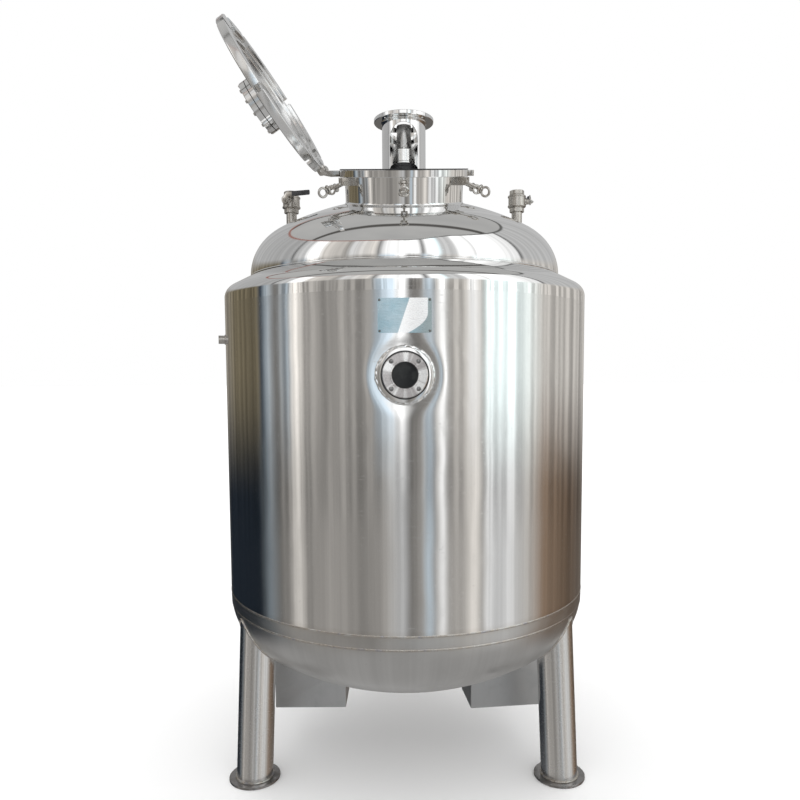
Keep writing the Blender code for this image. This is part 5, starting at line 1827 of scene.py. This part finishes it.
class TANK_OT_sight_port(Operator):
    """Builds the front sight port: neck, welded pad, glass, cover ring and screws."""

    bl_idname = "tank.sight_port"
    bl_label = "Sight Port"

    def execute(self, context):
        steps, glass_radius = 96, 0.0465
        neck = turned("port_neck_pipe", ring(PORT_HOLE, PORT_BORE, PORT_NECK_LOW,
                                             PORT_FACE - 0.0078), steps)
        hand_over(neck, inner_wall(), stands_for="port_neck",
                  place=PORT)
        pocket = PORT_FACE - 0.0077
        pad = turned("port_pad_ring", [
            (PORT_PAD - 0.003, PORT_FACE), (PORT_PAD - 0.0008, PORT_FACE - 0.001),
            (PORT_PAD, PORT_FACE - 0.003), (PORT_PAD, PORT_BACK), (PORT_HOLE, PORT_BACK),
            (PORT_HOLE, pocket), (glass_radius, pocket), (glass_radius, PORT_FACE)], steps)
        hand_over(pad, polished_fitting(), stands_for="port_pad",
                  place=PORT)
        depth = sizes().port_dimple
        path = []
        for i in range(120):
            way = math.tau * i / 120
            x, z = (PORT_PAD + 0.0015) * math.cos(way), (PORT_PAD + 0.0015) * math.sin(way)
            path.append((x, -math.sqrt((JACKET_RADIUS - depth + 0.0012) ** 2 - x * x),
                         PORT_HEIGHT + z))
        weld = lumpy_bead("port_weld", path, 0.0052, 0.0026)
        hand_over(weld, polished_fitting())

        face, lip = PORT_FACE + 0.0147, 0.0393
        wide, sight, under = 0.060, 0.0346, PORT_FACE + 0.0036
        cover = turned("port_cover_ring", [
            (sight + 0.0012, face + 0.002), (lip - 0.0008, face + 0.002),
            (lip, face + 0.0012), (lip, face), (wide - 0.002, face), (wide, face - 0.002),
            (wide, PORT_FACE + 0.0012), (wide - 0.001, PORT_FACE + 0.0002),
            (glass_radius, PORT_FACE + 0.0002), (glass_radius, under), (sight, under),
            (sight, face + 0.0008)], steps)
        hand_over(cover, turned_face(), stands_for="port_ring",
                  place=PORT)
        packing = turned("port_packing", ring(0.0640, glass_radius + 0.002, PORT_FACE - 0.0002,
                                              PORT_FACE + 0.0030), steps)
        hand_over(packing, rubber(), place=PORT)
        seal = turned("port_seal", ring(glass_radius - 0.0005, sight - 0.0015, under - 0.0014,
                                        under + 0.0004), steps)
        hand_over(seal, rubber(), place=PORT)
        pane = turned("port_pane", [
            (0.0, PORT_FACE + 0.0026), (glass_radius - 0.001, PORT_FACE + 0.0026),
            (glass_radius - 0.0002, PORT_FACE + 0.0018), (glass_radius - 0.0002, pocket),
            (0.0, pocket)], steps, closed=False)
        hand_over(pane, sight_glass(), stands_for="port_glass",
                  place=PORT)
        screws = spread("port_screws", hex_screw("screw", 0.0100, 0.0046, 0.0062),
                        spin_places(4, 0.0505, face - 0.0002, 45.0))
        hand_over(screws, dark_fastener(), place=PORT)
        return {"FINISHED"}


class TANK_OT_name_plate(Operator):
    """Builds the bare name plate, bent round the jacket and held by four rivets."""

    bl_idname = "tank.name_plate"
    bl_label = "Name Plate"

    def execute(self, context):
        low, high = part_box("name_plate")
        width, height, sheet, corner = high.x - low.x, high.z - low.z, 0.0012, 0.004
        side = []
        for i, (x, z) in enumerate(((1, 1), (-1, 1), (-1, -1), (1, -1))):
            side += arc((x * (width / 2 - corner), z * (height / 2 - corner)), corner,
                        90.0 * i, 90.0 * (i + 1), 6)
        sign = plate("name_plate_sheet", [(x, 0, z) for x, z in side], (0, -sheet, 0))
        pick(sign)
        bpy.ops.object.mode_set(mode="EDIT")
        for i in range(1, 24):
            bpy.ops.mesh.select_all(action="SELECT")
            bpy.ops.mesh.bisect(plane_co=(width * (i / 24 - 0.5), 0, 0), plane_no=(1, 0, 0))
        bpy.ops.object.mode_set(mode="OBJECT")
        middle = (low.z + high.z) / 2
        bend = move(z=middle)
        for point in sign.data.vertices:
            x, y, z = point.co
            away = JACKET_RADIUS + 0.0003 - y
            point.co = bend @ Vector((away * math.sin(x / JACKET_RADIUS),
                                      -away * math.cos(x / JACKET_RADIUS), z))
        rivet = turned("rivet", [(0.0, -0.001), (0.0034, -0.001)]
                       + arc((0.0, 0.0), 0.0034, 0.0, 90.0, 6)[:-1] + [(0.0, 0.0022)],
                       24, closed=False)
        places = []
        for x in (-width / 2 + 0.005, width / 2 - 0.005):
            for z in (-height / 2 + 0.005, height / 2 - 0.005):
                places.append(turn(math.degrees(x / JACKET_RADIUS)) @ move(z=middle + z)
                              @ turn(90, "X") @ move(z=JACKET_RADIUS + 0.0013))
        hand_over(spread("name_plate_rivets", rivet, places), dark_fastener())
        hand_over(sign, plate_steel(middle, width, height), stands_for="name_plate")
        return {"FINISHED"}


class TANK_OT_side_coupling(Operator):
    """Builds the short threaded coupling on the jacket's left side, with its weld."""

    bl_idname = "tank.side_coupling"
    bl_label = "Side Coupling"

    def execute(self, context):
        high, wide, bore = JACKET_RADIUS + 0.022, 0.0135, 0.009
        floor = high - 0.014
        place = (move(z=SIDE_COUPLING_HEIGHT) @ Matrix.Rotation(SIDE_COUPLING_ANGLE, 4, "Z")
                 @ turn(90, "Y"))
        inside = [(x + 0.0004, z) for x, z in threaded(bore, floor, high - 0.001, 0.0014)]
        body = turned("side_coupling_socket", [(0.0, floor)] + inside + [
            (bore + 0.001, high), (wide - 0.001, high), (wide, high - 0.001),
            (wide, JACKET_RADIUS - 0.002), (0.0, JACKET_RADIUS - 0.002)], 48, closed=False)
        hand_over(body, cast(), stands_for="side_coupling", place=place)
        path = []
        for i in range(48):
            way = math.tau * i / 48
            x, y = (wide + 0.0008) * math.cos(way), (wide + 0.0008) * math.sin(way)
            path.append((x, y, math.sqrt((JACKET_RADIUS + 0.0005) ** 2 - y * y)))
        weld = lumpy_bead("side_coupling_weld", path, 0.0022, 0.0006)
        hand_over(weld, weld_metal(), place=place)
        return {"FINISHED"}


class TANK_OT_heater_covers(Operator):
    """Builds the folded sheet covers under the lower end, with their screws."""

    bl_idname = "tank.heater_covers"
    bl_label = "Heater Covers"

    def execute(self, context):
        width, depth, sheet = 0.244, 0.160, 0.002
        low = edge_of("heater_cover_left", LOW, 2)
        for name, side, way in (("left", -1, 0.0), ("right", 1, 7.0)):
            place = move(side * COVER_REACH) @ turn(way)
            box = block("box", (-width / 2, -depth / 2, low), (width / 2, depth / 2, 0.40))
            pick_faces(box, lambda face: face.normal.z > 0.5)
            bpy.ops.mesh.delete(type="FACE")
            bpy.ops.object.mode_set(mode="OBJECT")
            soften(box, 0.0028, 3, math.radians(60.0))
            wall(box, sheet)
            cut(box, placed(self.tank_form(), place.inverted()))
            trim = self.foot_trim(width, depth, low)
            cover = joined("heater_cover_" + name + "_sheet", box, trim)
            hand_over(cover, sheet_metal(), stands_for="heater_cover_" + name,
                      place=place)
        return {"FINISHED"}

    def tank_form(self):
        """The jacket's lower end as a solid, for cutting what hangs on it."""
        top = JACKET_TANGENT + 0.12
        outline = [(0.0, top), (JACKET_RADIUS, top)] + dished_end(*JACKET_END)
        return turned("tank_form", outline, 128, closed=False)

    def foot_trim(self, width, depth, low):
        """The bottom sheet's screws, on flat heads a little proud of the cover."""
        screw = hex_screw("screw", 0.0070, 0.0030, 0.0050)
        places = [move(x, y, low) @ turn(180, "X")
                  for x in (-width / 2 + 0.014, width / 2 - 0.014)
                  for y in (-depth / 2 + 0.014, depth / 2 - 0.014)]
        return spread("screws", screw, places)


class TANK_OT_outlet(Operator):
    """Builds the bottom outlet with its clamp ferrule and its weld."""

    bl_idname = "tank.outlet"
    bl_label = "Bottom Outlet"

    def execute(self, context):
        wide, bore = 0.0255, 0.0235
        low, high = edge_of("bottom_outlet", LOW, 2), edge_of("bottom_outlet", HIGH, 2)
        outlet = turned("bottom_outlet_pipe", [
            (wide, high), (wide, low + 0.0105), (0.0262, low + 0.0090),
            (0.0315, low + 0.0062), (0.032, low + 0.0055), (0.032, low + 0.0006),
            (0.0314, low), (0.0292, low), (0.0286, low + 0.0014), (0.0270, low + 0.0014),
            (0.0264, low), (bore, low), (bore, high)], 96)
        hand_over(outlet, polished_fitting(), stands_for="bottom_outlet")
        path = [(wide * math.cos(math.tau * i / 48), wide * math.sin(math.tau * i / 48),
                 JACKET_POLE - 0.0004) for i in range(48)]
        hand_over(lumpy_bead("bottom_outlet_weld", path, 0.0030, 0.0007), weld_metal())
        return {"FINISHED"}


class TANK_PT_build(Panel):
    """Lists the tank's pieces in the order in which they are built."""

    bl_idname = "TANK_PT_build"
    bl_label = "Heated Mixing Tank"
    bl_space_type = "VIEW_3D"
    bl_region_type = "UI"
    bl_category = "Tank"

    def draw(self, context):
        column = self.layout.column(align=True)
        for step in OPERATORS:
            column.operator(step.bl_idname)
        for group in ("tank_sizes", "tank_finishes", "tank_studio"):
            owner = getattr(context.scene, group)
            box = self.layout.box()
            for name in owner.bl_rna.properties.keys():
                if name not in ("rna_type", "name"):
                    box.prop(owner, name)


CLASSES = (
    TankSizes, TankFinishes, TankStudio, TANK_OT_stage, TANK_OT_jacket_wall,
    TANK_OT_shoulder, TANK_OT_lower_end, TANK_OT_vessel, TANK_OT_dome, TANK_OT_manway,
    TANK_OT_lid, TANK_OT_lid_sight, TANK_OT_hinge, TANK_OT_swing_bolts, TANK_OT_stand,
    TANK_OT_seal, TANK_OT_agitator, TANK_OT_valves, TANK_OT_sight_port,
    TANK_OT_name_plate, TANK_OT_side_coupling, TANK_OT_legs, TANK_OT_heater_covers,
    TANK_OT_outlet, TANK_PT_build,
)
OPERATORS = [item for item in CLASSES if issubclass(item, Operator)]


def register():
    for item in CLASSES:
        bpy.utils.register_class(item)
    bpy.types.Scene.tank_sizes = PointerProperty(type=TankSizes)
    bpy.types.Scene.tank_finishes = PointerProperty(type=TankFinishes)
    bpy.types.Scene.tank_studio = PointerProperty(type=TankStudio)


def unregister():
    for name in ("tank_studio", "tank_finishes", "tank_sizes"):
        delattr(bpy.types.Scene, name)
    for item in reversed(CLASSES):
        bpy.utils.unregister_class(item)


def main():
    register()
    for step in OPERATORS:
        group, name = step.bl_idname.split(".")
        getattr(getattr(bpy.ops, group), name)()


if __name__ == "__main__":
    main()
